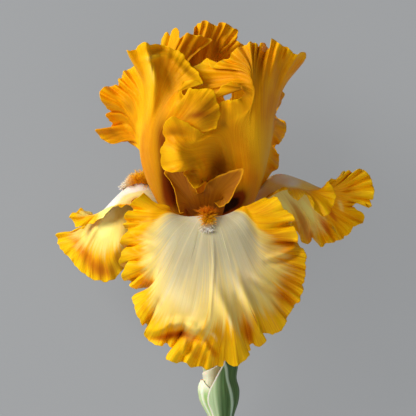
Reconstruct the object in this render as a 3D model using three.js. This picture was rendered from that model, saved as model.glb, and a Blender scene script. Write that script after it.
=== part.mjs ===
// A cut bearded iris flower lying on its back, in millimetres, with +Z up.
//
// Every piece is drawn in the flower's own frame: x to the right, y up the flower and z out of its face, with
// the origin where the petals meet on the axis. The last section lays the flower down on its two back falls
// and the cut end of its stem.
import * as THREE from "three";

// ---- Driving sizes ----
const PETAL_THICKNESS = 0.7;
const BRACT_THICKNESS = 0.7;
const SEAT_GAP = 0.35; // between pieces that touch on the real flower
const LYING_TILT = 13.8; // degrees that the flower's head is lifted from the surface

// Radii, from the claw at 0 to the margin at 1, of the rows of a petal's mesh.
const PETAL_ROWS = [0, 0.2, 0.4, 0.6, 0.76, 0.9, 1];
const STYLE_ROWS = [0, 0.3, 0.6, 0.85, 1];
const COLUMNS_PER_POINT = 0.8; // of the margin

// How a petal's ruffles fade from its margin towards its middle: broad folds start at FOLDS_FROM and the
// narrow frills at FRILLS_FROM, and each grows by its own power of the way left to the margin.
const BROAD_SMOOTHING = 2.5; // in margin points
const FINE_SMOOTHING = 1.2;
const FOLDS_FROM = 0.55;
const FOLDS_POWER = 1.9;
const FRILLS_FROM = 0.68;
const FRILLS_POWER = 2;

// ---- Petals: rings from the claw outwards, and the ruffled margin, left to right ----
// rings[i] runs across the petal at radius at[i]. rim holds the margin in stretches: each stretch fans out
// from the same share of every ring, so a stretch with many points is a deeply folded one.
const FRONT_FALL = {
  at: [0, 0.12, 0.25, 0.36, 0.62],
  rings: [
    [[-1.8, 1, 5.1], [0, 1, 5.5], [1.8, 1, 5.1]],
    [[-5.5, 12, 14], [0, 12.5, 18], [5.5, 12, 14]],
    [[-12, 20.5, 24], [-6.5, 22.5, 30], [0, 23.5, 33], [6.5, 23, 31], [12.5, 24.5, 26]],
    [
      [-17, 24.5, 27], [-16, 23.5, 32], [-13.5, 20, 36.5], [-8.5, 16.5, 40], [0, 15, 42],
      [7, 16.5, 41], [12, 19.5, 38.5], [15, 23.5, 35], [16, 27, 29],
    ],
    [
      [-19, 27.5, 30], [-25, 25, 33], [-27, 19.5, 36], [-27.5, 13, 38.5], [-26.5, 6.5, 41],
      [-24.5, 0, 43], [-21, -7.5, 46], [-14, -15, 49.5], [0.5, -20, 52.5], [10, -18, 51],
      [16, -14, 49], [21, -8.5, 46.5], [24.5, -1.5, 44], [25.5, 6.5, 41.5], [25, 14.5, 39],
      [23, 22, 36], [19, 28, 31],
    ],
  ],
  rim: [
    [[-25, 29.5, 30], [-28, 31, 31], [-31.5, 34, 31], [-34.5, 31.75, 34]],
    [[-38, 29, 30], [-36.5, 26, 24], [-40, 25.25, 32], [-41.75, 22.5, 33], [-40.25, 20.25, 27]],
    [[-42.5, 19, 32], [-41, 17, 28], [-39, 16.25, 31], [-41.5, 14, 33]],
    [[-43.25, 11, 34], [-42.5, 8.5, 31], [-40.5, 6.5, 25], [-40, 7.75, 32], [-42, 6, 34]],
    [[-43.5, 2.5, 34], [-43.75, -1, 31], [-40.5, -2, 24], [-38.5, 1.5, 32], [-41, -1.5, 35]],
    [
      [-43, -6, 35], [-41.5, -8.75, 32], [-38.5, -9.5, 28], [-38.5, -11.5, 33], [-37, -12.75, 31],
      [-35.25, -13.25, 28], [-32, -12.25, 27], [-28.5, -12, 27], [-24.5, -15.5, 29], [-21.5, -20, 36],
      [-22.75, -24, 41], [-24.5, -20.5, 36], [-27, -16, 28], [-31, -14.5, 27], [-34.5, -15, 30],
    ],
    [
      [-37, -17, 34], [-36.5, -20.5, 36], [-35, -24.5, 38], [-33.5, -28.5, 39], [-32, -31, 37],
      [-30.5, -30.5, 31], [-31, -33, 35],
    ],
    [
      [-31.5, -35.75, 34], [-29, -37.75, 36], [-26, -40, 38], [-23, -40.75, 38], [-21, -39.75, 35],
      [-18.5, -41.25, 38], [-16, -40.75, 36], [-13.5, -39, 33],
    ],
    [
      [-15, -39.5, 33], [-18, -42.5, 34], [-20.5, -46, 38], [-18.5, -48, 41], [-16, -49.5, 39],
      [-13.5, -48.75, 36], [-11, -49.5, 42], [-9, -51, 40], [-7, -51, 38], [-5, -51.25, 41],
      [-3, -50.75, 39],
    ],
    [
      [-0.5, -52, 41], [2, -51.5, 39], [4.5, -50, 37], [7, -50.5, 40], [8, -48, 40], [10.5, -49.5, 41],
      [14, -50.5, 43], [16, -48.5, 42], [19, -47, 42], [20.25, -45, 41], [17.5, -43.75, 38],
    ],
    [
      [16, -42.5, 41], [18.5, -43.5, 33], [20.75, -42.75, 33], [20.25, -40.5, 32], [22, -39.5, 33],
      [23.5, -40.75, 35], [25.5, -40.5, 36], [27.5, -39, 37], [28.5, -37.75, 37], [27, -35.75, 34],
    ],
    [
      [25.75, -34.75, 41], [27.5, -34.5, 34], [30, -35, 34], [32.5, -35.25, 35], [34.5, -34.75, 36],
      [35.75, -32.5, 36],
    ],
    [
      [38.5, -29.25, 37], [39, -27.5, 35], [41, -24.5, 37], [43, -21.75, 37], [43.25, -20.75, 33],
      [45, -19.25, 38],
    ],
    [
      [46, -16, 37], [46.5, -13.5, 38], [46.25, -11, 35], [47.5, -8.5, 38], [48, -5.5, 37],
      [47.5, -4, 35], [48, -1.5, 37],
    ],
    [
      [48, 1, 36], [48.25, 3, 35], [46.5, 6.5, 32], [45, 9.5, 29], [43, 11, 27], [44, 9.5, 35],
      [44.25, 12, 37],
    ],
    [
      [43, 15.5, 37], [41.5, 18.5, 34], [40.5, 19, 29], [42.5, 20, 33], [43, 21.5, 36],
      [41.5, 23.25, 36], [39.5, 25, 35],
    ],
    [[38, 26, 34], [36.5, 28.75, 34], [35, 31.5, 33], [33.5, 32.5, 31], [31, 31.75, 30]],
    [[27, 31.5, 29]],
  ],
};

const LEFT_FALL = {
  at: [0, 0.12, 0.25, 0.42, 0.68],
  rings: [
    [[-5.4, 1, -0.6], [-4.9, 1, -2.6], [-3.7, 1, -4.1]],
    [[-12.5, 14.5, -2], [-16, 20, -9], [-13.5, 16.5, -16]],
    [[-22.5, 25, -2], [-28, 38, -13], [-22.5, 31, -24]],
    [
      [-30.5, 27.5, 5], [-39, 29.5, 1], [-43.5, 32.5, -5], [-41, 37.5, -13], [-36, 41, -24],
      [-31, 39, -31], [-25.5, 33, -28],
    ],
    [
      [-28, 28.5, 8], [-45, 28.5, 1], [-55, 24.5, -5], [-56.5, 22.5, -12], [-61, 17, -12],
      [-60.5, 12, -7], [-53.5, 9.5, 0], [-47, 11, 4], [-40, 13, 3], [-34, 18, -13], [-30, 24, -34],
      [-28.5, 29, -38], [-22.5, 30.5, -25],
    ],
  ],
  rim: [
    [
      [-25, 28.5, 8], [-29, 29.5, 9], [-33, 31.5, 8], [-36, 32.5, 6], [-38.5, 30.5, 8], [-38, 27.5, 6],
      [-40.5, 28.5, 3], [-43, 27.5, 6], [-45, 29, 3],
    ],
    [[-48, 26.5, 2], [-51, 24, 2], [-54, 21.5, 0], [-57, 20, 0], [-60, 18.5, -3], [-62.5, 18, -3]],
    [
      [-65.5, 17, -4], [-67.5, 20, -8], [-69.5, 22.5, -6], [-68, 24.5, -9], [-66.5, 25, -8],
      [-65, 27, -10], [-62, 25.5, -12], [-58, 24, -14],
    ],
    [[-58.5, 20, -15], [-62, 16.5, -13], [-66, 16.5, -15], [-69, 15, -14], [-73.5, 14.5, -17]],
    [
      [-77, 13.75, -16], [-75.5, 11.5, -18], [-75.25, 9, -16], [-74.5, 6.5, -16], [-72.5, 4.75, -15],
      [-71, 3, -15],
    ],
    [
      [-69, 0, -13], [-67.5, -1.5, -14], [-65, -3.5, -11], [-62.5, -6, -11], [-60, -7.5, -8],
      [-58, -8.75, -8],
    ],
    [[-55, -9, -6], [-52, -10, -6], [-49, -9.5, -3], [-46, -8, -4]],
    [[-43.5, -5, -1], [-41, -3, -4], [-38, -2, -1], [-35, 0, -6]],
    [[-31.5, 2.5, -7], [-29, 6, -18], [-26, 8, -26]],
    [[-24, 13, -42], [-21, 16, -40], [-22, 20, -48]],
    [[-20, 25, -46], [-22, 28.5, -51], [-24, 31, -46]],
    [[-25, 32.5, -40], [-23, 32.5, -33]],
    [[-20, 30, -24]],
  ],
};

const RIGHT_FALL = {
  at: [0, 0.12, 0.25, 0.42, 0.68],
  rings: [
    [[5.4, 1, -0.6], [4.9, 1, -2.6], [3.7, 1, -4.1]],
    [[12.5, 14.5, -2], [15, 18.5, -8], [13, 15.5, -15]],
    [[22, 25, -2], [25, 35, -11], [22, 29.5, -22]],
    [
      [27.5, 29.5, 5], [36.5, 37.5, 3], [39.5, 41.5, -5], [36.5, 44, -13], [32.5, 42.5, -22],
      [29, 37.5, -30], [24.5, 31.5, -28],
    ],
    [
      [25, 30, 8], [40, 36.5, 7], [51, 35.5, 4], [59, 36.5, 0], [61.5, 34.5, -6], [60.5, 30.5, -11],
      [57, 26.5, -16], [52.5, 25, -20], [48.5, 25, -25], [43.5, 26.5, -30], [37, 28.5, -36],
      [31, 30.5, -37], [23, 30.5, -24],
    ],
  ],
  rim: [
    [[23, 26.5, -1], [25.5, 29, 3], [28.5, 32.25, 6], [33, 35.75, 9], [36.5, 36, 7]],
    [
      [39.5, 37, 11], [41.5, 33, 13], [44, 30, 14], [46.5, 31.5, 12], [48.5, 34.5, 8], [51, 32.5, 10],
      [53, 29, 12], [53.25, 26, 14], [55.5, 24, 15], [58, 23, 14], [61, 24.5, 12], [62.5, 28, 9],
      [63.5, 32, 7], [63, 35.5, 6],
    ],
    [
      [61.5, 37.5, 10], [60.5, 40, 10], [62, 41.5, 8], [64.5, 41.25, 4], [67, 43, 6], [68, 45, 2],
      [70, 45.75, 5], [72, 44.5, 1], [73.25, 43.5, -2], [74.25, 45, 3],
    ],
    [
      [75, 46.75, 6], [77, 46.5, 1], [79.5, 45, 4], [81.25, 43, -1], [81.75, 40.5, 3], [83, 38, -2],
      [83.25, 35, 2], [82.5, 32, -2], [80.75, 31.5, -5],
    ],
    [
      [81.5, 28.5, -2], [80.75, 27.5, -6], [78.5, 29.25, -3], [76, 30, -8], [73.75, 29.25, -5],
      [72.75, 27.5, -10],
    ],
    [
      [75, 26, -6], [78.5, 23, -9], [78, 20.5, -12], [76, 18.5, -8], [74, 17.5, -13], [72, 15, -10],
      [69, 13, -14],
    ],
    [[67, 12, -11], [65.5, 16, -17], [63.5, 20.5, -22], [65, 16, -25], [67.5, 11.75, -21]],
    [[65, 10.5, -25], [63.5, 9, -21], [60.5, 9, -26], [58, 7.75, -20], [56, 8.5, -25], [54, 11, -29]],
    [[52.5, 12.5, -31], [52.25, 10.5, -26], [50.5, 8.75, -22], [47.5, 10, -26], [46.5, 13, -31]],
    [[44.5, 15.5, -30], [42, 17.5, -36], [39.5, 18.5, -34]],
    [[36, 21.5, -43], [32, 23.5, -46], [29, 26.5, -51]],
    [[26.5, 29.5, -48], [24, 31, -40]],
    [[21, 30, -23]],
  ],
};

const LEFT_STANDARD = {
  at: [0, 0.13, 0.28, 0.5, 0.74],
  rings: [
    [[-3.2, 1, 4.5], [-4.75, 1, 2.8], [-5.4, 1, 1]],
    [[-8.5, 16.5, 11], [-13, 20, 17], [-17.5, 21.5, 15], [-18.5, 19.5, 9], [-16.5, 16, 5]],
    [
      [-12, 27, 12], [-15, 33, 17], [-19, 36.5, 24], [-24, 38.5, 25], [-29, 39, 17], [-28.5, 37, 8],
      [-25.5, 33, 2],
    ],
    [
      [-11, 31, 14], [-12, 42, 20], [-14.5, 52, 28], [-18, 56, 34], [-21.5, 58, 35], [-25, 59.5, 34],
      [-28.5, 60, 30], [-31.5, 60, 24], [-34, 59.5, 16], [-33.5, 57.5, 8], [-32, 55, 2],
      [-30.5, 51, -3], [-28, 44.5, -3],
    ],
    [
      [-12.5, 29, 13], [-11.5, 45.5, 24], [-9, 59.5, 38], [-5.5, 68, 46], [-10.5, 75, 45.5],
      [-17, 78, 42.5], [-21.5, 82, 38], [-27.5, 85, 37], [-30, 83, 24], [-34.5, 78.5, 8],
      [-40, 74.5, 0], [-39, 68, -7], [-30, 48, -7],
    ],
  ],
  rim: [
    [[-11.5, 28.5, 12], [-11, 33.5, 16], [-10.5, 41, 21]],
    [[-10.5, 48.5, 24], [-10.5, 56, 27], [-9, 61.5, 31]],
    [[-5.5, 65.5, 41], [-1, 65.25, 43.5], [3, 65.5, 44], [5, 69, 44]],
    [[6.25, 73, 43.5], [6, 76, 43.5], [4.5, 79, 43], [3.5, 82, 43], [2.5, 84.75, 42], [0, 85.5, 42]],
    [[-4, 85, 41], [-7, 85.75, 42], [-9.5, 85.5, 41], [-11.5, 82, 42], [-12.5, 83, 42]],
    [
      [-13, 86.5, 40], [-12, 89, 39], [-9, 89.75, 39], [-5.5, 89, 39.5], [-2.5, 87.75, 40],
      [-3.5, 91, 39], [-5.5, 94, 37],
    ],
    [
      [-8.5, 97, 35], [-10.5, 100.25, 34], [-12, 102.75, 34], [-15, 104.25, 33], [-19, 106, 34],
      [-22, 107, 33], [-25, 108, 34], [-28, 107.25, 36],
    ],
    [[-30.5, 108.25, 41], [-33, 107.25, 37], [-35.5, 105.5, 34], [-38, 103.75, 36]],
    [
      [-40, 104.25, 36], [-38.5, 102, 30], [-36, 99, 24], [-34, 96.5, 16], [-35.5, 97.5, 10],
      [-37.5, 97.25, 6], [-40, 96.5, 2], [-42, 95, 6], [-43, 92.5, -1], [-44.5, 91, 3],
    ],
    [[-45, 88, -5], [-47, 88.75, 0], [-49.5, 88, -4], [-52, 87, 1]],
    [
      [-53.75, 84.5, -1], [-53.75, 82, 3], [-52.5, 79, -1], [-50, 76.5, -5], [-48.5, 75.5, -10],
      [-50, 74.5, -4], [-51.25, 73.5, -3], [-50, 71.5, -6], [-48.75, 69.5, -9],
    ],
    [
      [-49, 67.5, -13], [-52.5, 67, -8], [-56.5, 66.25, -6], [-55, 64, -10], [-52.5, 61.5, -12],
      [-49.5, 59.5, -12], [-46, 59.5, -11], [-44.5, 62, -14], [-42.5, 64, -18], [-41, 62, -13],
      [-39.5, 60, -14], [-38, 62, -17], [-36.5, 63.5, -18], [-34.5, 59.5, -16],
    ],
    [[-30, 47, -9]],
  ],
};

const RIGHT_STANDARD = {
  at: [0, 0.13, 0.28, 0.5, 0.74],
  rings: [
    [[3.2, 1, 4.5], [4.75, 1, 2.8], [5.4, 1, 1]],
    [[9, 16.5, 11], [13, 20, 16], [16.5, 21.5, 14], [17.5, 19.5, 8], [15.5, 16, 4]],
    [
      [4, 28, 12], [7, 34, 17], [13, 36.5, 22], [20, 38.5, 26], [25.5, 39, 19], [25.5, 37, 8],
      [22.5, 32.5, 2],
    ],
    [
      [3, 31.5, 14], [4, 40, 18], [4.5, 46, 22], [4.5, 51.5, 28], [5, 56.5, 34], [6, 59.5, 38],
      [10, 62, 38], [15, 64.5, 38], [18.5, 65.5, 37.5], [21, 65.5, 37], [24, 65.5, 36], [27, 64.5, 32],
      [30, 62.5, 24], [31.25, 60, 14], [30.5, 56, 5], [28.5, 50, 0], [25, 41, -2],
    ],
    [
      [2.5, 31.5, 15], [0.5, 40, 19], [-3, 44, 32], [-9.5, 51, 40], [-10.5, 56, 43], [-5.5, 60, 44],
      [4, 67, 40.5], [21, 77.5, 40.5], [22, 86, 42], [21, 92, 42], [23, 93, 41], [28, 90.5, 38],
      [36, 86.5, 22], [33.5, 76, 8], [32.5, 67, 0], [30.5, 57, -4], [25.5, 39, -6],
    ],
  ],
  rim: [
    [[2.5, 31, 15], [1, 36, 17], [-1, 40.75, 22]],
    [[-2.5, 42, 29], [-2, 39.5, 34], [-4, 37.25, 38], [-6, 36.75, 40], [-9, 39, 40], [-11, 42.5, 39]],
    [
      [-12, 44.5, 36], [-10, 46.5, 31], [-11.5, 45.5, 37], [-13.5, 45, 41], [-16.5, 44.5, 43],
      [-20, 45, 42],
    ],
    [
      [-22.5, 46.5, 40], [-23.5, 50, 40.5], [-23, 54.5, 41], [-21.75, 58, 41], [-21, 60.5, 40],
      [-22, 63.5, 42], [-22.25, 66, 43],
    ],
    [
      [-21.5, 68.5, 46], [-19.5, 70.5, 48], [-17.5, 71.25, 49], [-14.5, 70.5, 48.5], [-11, 69, 48],
      [-8, 67.25, 47],
    ],
    [[-5, 65, 46], [-2.5, 63.25, 43], [0, 64, 40], [1.5, 68.5, 39.5], [3, 75, 39.5]],
    [[5.5, 78.5, 40], [9, 80, 41], [12.5, 80.25, 41.5], [15.5, 80.75, 42]],
    [
      [17.75, 82.75, 41.5], [17.25, 85.25, 42], [15.5, 87.25, 42.5], [13, 88.5, 42.5],
      [10.5, 88.75, 42.5], [7.75, 87.25, 41.5], [5, 84, 39.5], [2, 80.5, 37],
    ],
    [
      [-1.5, 82, 36], [-2.25, 85, 35], [-4.5, 85.25, 36], [-6.25, 86.5, 35], [-4, 87.25, 33],
      [-2.25, 89, 31], [-3.75, 92, 30], [-6.5, 96, 28], [-3.5, 98, 27], [-0.25, 101, 29],
      [0.5, 97, 33], [2.5, 95.75, 36], [4, 97.25, 35], [5.75, 99, 37], [8, 99.75, 35],
    ],
    [
      [10.5, 100.5, 38], [12, 103, 35], [14, 106, 38], [16.5, 106.5, 35], [18.5, 107, 38],
      [20.5, 108.25, 42], [22, 108, 36], [23.5, 107.5, 40],
    ],
    [
      [24.5, 106, 34], [26, 107.75, 38], [28, 107.5, 32], [29.5, 105.5, 28], [28, 104, 32],
      [30, 106, 37],
    ],
    [
      [31, 109.5, 41], [33, 109.25, 37], [35.5, 108, 40], [37.5, 106.5, 36], [40, 105, 38],
      [42, 103.5, 33], [44.5, 103, 35],
    ],
    [[47.5, 104, 30], [48.25, 101.5, 24], [46, 99, 14], [43, 96.5, 4], [40.5, 92.5, -3], [38, 88, -6]],
    [
      [37.75, 84.5, -5], [37, 81.5, -9], [36.5, 79, -5], [34.25, 77, -9], [34.75, 75, -7],
      [32, 72.5, -13], [35.5, 71, -9], [38, 70, -11],
    ],
    [
      [39.75, 66, -8], [38, 62.5, -12], [36.5, 59.5, -8], [34, 59, -13], [31, 57.5, -16],
      [33.5, 55, -12],
    ],
    [
      [36, 53.5, -10], [35.5, 50.5, -14], [35, 47, -10], [32.5, 45.5, -14], [30.5, 43, -11],
      [28.5, 39.5, -14],
    ],
    [[25.5, 37, -8]],
  ],
};

const BACK_STANDARD = {
  at: [0, 0.13, 0.3, 0.52, 0.74],
  rings: [
    [[-2.5, 1, -4.9], [0, 1, -5.5], [2.5, 1, -4.9]],
    [[-6, 17, -14], [0, 18, -18], [6, 17, -14]],
    [[-16, 33, -19], [-9, 39, -27], [0, 41, -30], [9, 39, -27], [16, 33, -19]],
    [
      [-24, 38, -21], [-28, 56, -29], [-20, 69, -33], [-9, 73, -35], [0, 74, -36], [7, 71, -35],
      [12, 69, -34], [19, 63, -31], [23.5, 53, -26], [22, 41, -20],
    ],
    [
      [-25, 38, -21], [-29, 57, -29], [-29, 76, -31], [-21, 92, -24], [-11, 96, -19], [-2, 96, -24],
      [4, 93.5, -29], [13, 75, -33], [22, 81, -32], [29, 66, -29], [28, 48.5, -22],
    ],
  ],
  rim: [
    [[-25.5, 37.5, -21], [-29, 43.5, -26], [-30.5, 51, -25]],
    [
      [-31, 58.5, -30], [-31, 66, -27], [-30.5, 73.5, -31], [-29.5, 81, -27], [-28.5, 88.5, -31],
      [-27.5, 96, -27], [-26, 103.5, -28],
    ],
    [
      [-23.5, 109, -22], [-22.25, 110.5, -20], [-23.5, 112.5, -21], [-22.5, 114.5, -18],
      [-20.5, 115.75, -16], [-19, 114, -17], [-18, 117, -14],
    ],
    [
      [-16, 118, -12], [-14.5, 116, -10], [-14, 112.5, -8], [-12, 114, -7], [-10, 115, -4],
      [-7, 113.5, -5],
    ],
    [
      [-3.5, 113, -4], [-0.5, 112, -9], [2.5, 111, -8], [-1, 112.5, -16], [-5.5, 114.5, -18],
      [-7, 117.5, -15], [-5.5, 120, -19], [-3.5, 120.5, -14],
    ],
    [
      [-1.5, 121.25, -15], [0.5, 121, -14], [2.5, 119.75, -18], [5, 118.75, -16], [7, 120, -17],
      [9, 119.5, -15], [11.5, 119, -18],
    ],
    [
      [13.5, 117.5, -17], [15, 116.5, -19], [15, 114.5, -18], [14, 112, -21], [16, 110.5, -19],
      [18, 109, -21], [19.5, 107, -21], [18, 102, -26], [14, 96, -30],
    ],
    [
      [10, 91, -32], [7, 86.5, -32], [7.5, 82.5, -33], [10, 81.5, -33], [12, 83.5, -32],
      [12, 87.5, -31], [15, 93, -30],
    ],
    [[21, 97, -28], [27, 97, -26], [31, 94, -24], [34, 90, -26]],
    [[36.5, 85, -20], [37, 80.5, -24], [34.5, 76, -20], [34.5, 73, -25], [38, 70.5, -21]],
    [
      [39, 65.5, -24], [36.5, 60.5, -20], [34, 57.5, -25], [35.5, 53, -20], [34.5, 48, -24],
      [31, 43, -20],
    ],
    [[27, 38, -21]],
  ],
};

// Ridges (+) and valleys (-) of each petal as seen from the front: [height, half width, [[x, y], ...]].
const RELIEFS = {
  front_fall: [
    [-3, 12, [[-18, 3], [-9, -0.5], [0, -2], [11, -0.5], [19, 3]]],
    [4.5, 2.25, [
      [-31, -33.5], [-28, -32.5], [-24, -32.75], [-21, -31.5], [-18, -29.5], [-13.5, -29.25],
      [-9, -30], [-5.5, -32], [-1.5, -31.4], [2, -33], [4.5, -36],
    ]],
    [-4.5, 2.5, [
      [-29, -37.5], [-24, -37], [-19, -35.5], [-14, -34.5], [-9, -35.5], [-4, -37], [-0.5, -38],
    ]],
    [2.2, 1.2, [[-11.25, -35.5], [-11.5, -41.5], [-11.25, -48.5]]],
    [2.6, 1.2, [[-6, -33.5], [-2.5, -36], [-1, -40], [0, -44]]],
    [2.2, 1.75, [[0, -41], [2, -44.5], [5.5, -48]]],
    [3.4, 2.5, [[4, -13], [8, -21], [12, -30], [14.5, -37], [15.5, -43]]],
    [-3, 2, [[14, -17], [17.5, -24.5], [19.5, -31.5], [20, -40]]],
    [2.8, 2.25, [[14, -7], [18, -15], [21.5, -21.5], [24.5, -28], [26.5, -35.5]]],
    [-2.4, 1.75, [[22, -9], [27, -12], [33.5, -14.5], [43, -18.5]]],
    [1.2, 2, [[21, -6], [27, -9], [35, -11.5]]],
    [2.2, 1.5, [[44, 11], [42, 7], [38, 4.75], [34, 3.5], [30, 2.75]]],
    [-2.4, 1.6, [[46, 6.5], [43, 3.75], [39, 2], [34, 0.5], [29, 0]]],
    [-1, 2, [[22, 15], [30, 13], [39, 12]]],
    [-1.2, 1.5, [[25, 23], [32, 22.5], [41, 21.5]]],
    [-1.8, 1.75, [[-39, 17.5], [-35, 18], [-30.5, 20.5]]],
    [-1.8, 1.75, [[-38.5, 14], [-34, 12.5], [-28, 10]]],
    [-1.8, 1.75, [[-38.5, 7.5], [-35, 6], [-29.5, 3.5]]],
    [-1.6, 1.75, [[-42, -2.5], [-36, -5], [-29, -6.5]]],
    [-1.6, 1.5, [[-40, -8.25], [-34, -9], [-28.5, -10]]],
    [1.3, 2, [[-40, 19.5], [-34, 16], [-29, 13.5], [-21.5, 12]]],
    [1.2, 2, [[-40, 10.5], [-34, 8.5], [-26, 6]]],
    [1.2, 2, [[-40.5, 0.5], [-34, -1], [-26, -3]]],
    [0.5, 0.8, [[2.5, 13], [3, 0], [2, -14], [1, -28]]],
  ],
  left_fall: [
    [2.6, 2, [[-45, 28], [-52, 22.5], [-57, 16.5], [-61, 9.5], [-63, 2]]],
    [-2.4, 2.25, [[-50, 28.5], [-55.5, 22.5], [-60.5, 16.5], [-65, 9.5], [-67, 3]]],
    [-1, 2, [[-48, 18.5], [-50, 6], [-52, -5]]],
    [1, 2.5, [[-43, 20], [-45, 8.5], [-47, -3]]],
  ],
  right_fall: [
    [-2.6, 2, [[41, 29.5], [46.5, 20], [50.5, 11]]],
    [2.6, 1.75, [[44.5, 29.5], [49.5, 21], [55.5, 11]]],
    [1.6, 1.5, [[34, 32], [40, 23.5], [46.5, 12.5]]],
    [-2.4, 2, [[52, 31], [57, 23], [62, 14]]],
    [-1.6, 2, [[58.5, 31], [62, 29], [66, 29.5]]],
    [1.4, 1.5, [[65, 31], [72, 35], [80, 37]]],
    [-1.4, 1.5, [[66, 35], [72, 39], [77, 41]]],
  ],
  left_standard: [
    [1.6, 2, [[-30.5, 106], [-28.5, 100], [-27, 92], [-26.5, 81], [-27.5, 68.5], [-29, 56]]],
    [2.6, 1.5, [[-32.5, 100], [-29, 100.5], [-25.5, 101.25], [-22.5, 102.25], [-19.5, 102]]],
    [-2.4, 1.75, [[-30.5, 104], [-26, 104.5], [-21, 104.75], [-16, 103]]],
    [2, 1.5, [[-28, 98], [-26, 93], [-25, 86]]],
    [1.8, 1.75, [[-19, 101], [-15, 97], [-10, 92], [-4.5, 88.5]]],
    [-1.6, 2, [[-22, 98], [-19, 92], [-17, 85]]],
    [-1.6, 3.5, [[-19, 95], [-17.5, 83], [-20, 71], [-22.5, 58.5]]],
    [1.6, 2.5, [[-12.5, 81.5], [-16, 77], [-20, 71]]],
    [-1.4, 1.5, [[-48, 85], [-43, 79], [-37, 70]]],
    [1.2, 1.5, [[-43, 90], [-39, 82], [-35, 72]]],
    [-1.4, 1.5, [[-48, 73], [-43, 69], [-37, 63]]],
  ],
  right_standard: [
    [4, 3.5, [[-19, 59.5], [-15, 54], [-11.5, 48], [-10.5, 45]]],
    [-3, 2.25, [[-20, 62.5], [-16, 63.25], [-11, 62.5], [-6, 60]]],
    [2.2, 2, [[-7.5, 51], [-5, 47], [-3, 43]]],
    [-1.4, 1.5, [[-10.5, 46], [-8, 42], [-7, 38]]],
    [-4, 4.5, [[-1, 42], [4, 46], [10.5, 49.5]]],
    [-2.2, 2, [[25.5, 105], [26, 97], [25, 88]]],
    [1.6, 1.5, [[33, 108], [33, 100], [31.5, 89]]],
    [-2.2, 1.75, [[37.5, 103.5], [36, 96], [33.5, 87]]],
    [1.8, 2, [[16.5, 105.5], [19.5, 98], [22, 89]]],
    [-1.2, 1.75, [[10.5, 98], [15, 92], [19.5, 86]]],
  ],
  back_standard: [
    [1.6, 1, [[-4, 109], [-5.5, 101]]],
    [1.6, 1, [[0.5, 108], [-1.5, 101]]],
    [-1.6, 2, [[-10, 109], [-12, 100]]],
    [-1.6, 2, [[5, 114], [4, 103]]],
    [1.4, 1.5, [[8, 116], [8, 105]]],
  ],
};
const RELIEF_FROM = 0.05; // radius where the ridges start, and by RELIEF_FULL they have their height
const RELIEF_FULL = 0.3;
const RELIEF_ENDS = 0.3; // share of its height that a ridge keeps at its two ends

// The front style arm with its two crests, which stand between the beard and the standards.
const FRONT_STYLE = {
  at: [0, 0.3, 0.6],
  rings: [
    [[-1.5, 4, 2.6], [0, 4, 3.6], [1.5, 4, 2.6]],
    [[-4.5, 15, 8], [0, 16, 11], [4.5, 15, 8]],
    [[-10, 25.5, 21], [-7, 29, 24], [-1, 29.5, 23], [4, 31, 24], [8.5, 29.5, 22]],
  ],
  rim: [
    [[-12, 25, 29], [-14, 24.25, 30], [-15, 27.5, 30], [-16, 32.5, 31], [-17, 37, 32]],
    [
      [-19, 41, 32], [-21.5, 44.5, 32], [-18, 47, 31], [-12, 46, 30], [-8, 42, 31], [-6, 36, 32],
      [-4.5, 34, 30],
    ],
    [[-2, 35.5, 24.5]],
    [[0, 39.5, 27], [5, 42.5, 32], [11, 45, 35], [17, 46, 37], [16.5, 42, 36]],
    [[14, 37, 34.5], [11.5, 32, 32], [9, 29, 30], [6, 27.5, 28.5]],
    [[3, 30, 24]],
  ],
};

// A back style arm, drawn over a fall that faces the viewer and then turned round the flower's axis.
const BACK_STYLE = {
  at: [0, 0.5],
  rings: [
    [[-1.5, 4, 2.6], [0, 4, 3.6], [1.5, 4, 2.6]],
    [[-2.6, 15, 7.4], [0, 16, 8.4], [2.6, 15, 7.4]],
  ],
  rim: [
    [[-3, 24, 12], [-3.5, 32, 14]],
    [[-2, 35, 16]],
    [[0, 30, 16.5]],
    [[2, 35, 16], [3.5, 32, 14]],
    [[3, 24, 12]],
  ],
};
const BACK_STYLE_TURN = 122; // degrees each way round the axis

// ---- Curves ----
const point = ([x, y, z]) => new THREE.Vector3(x, y, z);

// A smooth curve through evenly spaced points, at share u of its length.
function along(points, u) {
  const last = points.length - 1;
  const place = Math.min(Math.max(u, 0), 1) * last;
  const i = Math.min(Math.floor(place), last - 1);
  const f = place - i;
  const b = points[i];
  const c = points[i + 1];
  const a = i > 0 ? points[i - 1] : b.clone().multiplyScalar(2).sub(c);
  const d = i + 2 <= last ? points[i + 2] : c.clone().multiplyScalar(2).sub(b);
  const blend = (p, q, r, s) =>
    0.5 * (2 * q + (r - p) * f + (2 * p - 5 * q + 4 * r - s) * f ** 2 + (3 * q - p - 3 * r + s) * f ** 3);
  return new THREE.Vector3(blend(a.x, b.x, c.x, d.x), blend(a.y, b.y, c.y, d.y), blend(a.z, b.z, c.z, d.z));
}

// A smooth curve through rows[k] at radius at[k], where the radii are unevenly spaced.
function across(at, rows, radius) {
  let k = 0;
  while (k < at.length - 2 && radius >= at[k + 1]) k += 1;
  const span = at[k + 1] - at[k];
  const f = (radius - at[k]) / span;
  const rise = (i) => rows[i + 1].clone().sub(rows[i]).divideScalar(at[i + 1] - at[i]);
  const slope = (j) => {
    if (j === 0) return rise(0);
    if (j === at.length - 1) return rise(j - 1);
    const before = at[j] - at[j - 1];
    const after = at[j + 1] - at[j];
    return rise(j - 1).multiplyScalar(after).add(rise(j).multiplyScalar(before)).divideScalar(before + after);
  };
  return rows[k].clone().multiplyScalar(2 * f ** 3 - 3 * f ** 2 + 1)
    .add(slope(k).multiplyScalar(span * (f ** 3 - 2 * f ** 2 + f)))
    .add(rows[k + 1].clone().multiplyScalar(-2 * f ** 3 + 3 * f ** 2))
    .add(slope(k + 1).multiplyScalar(span * (f ** 3 - f ** 2)));
}

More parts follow.
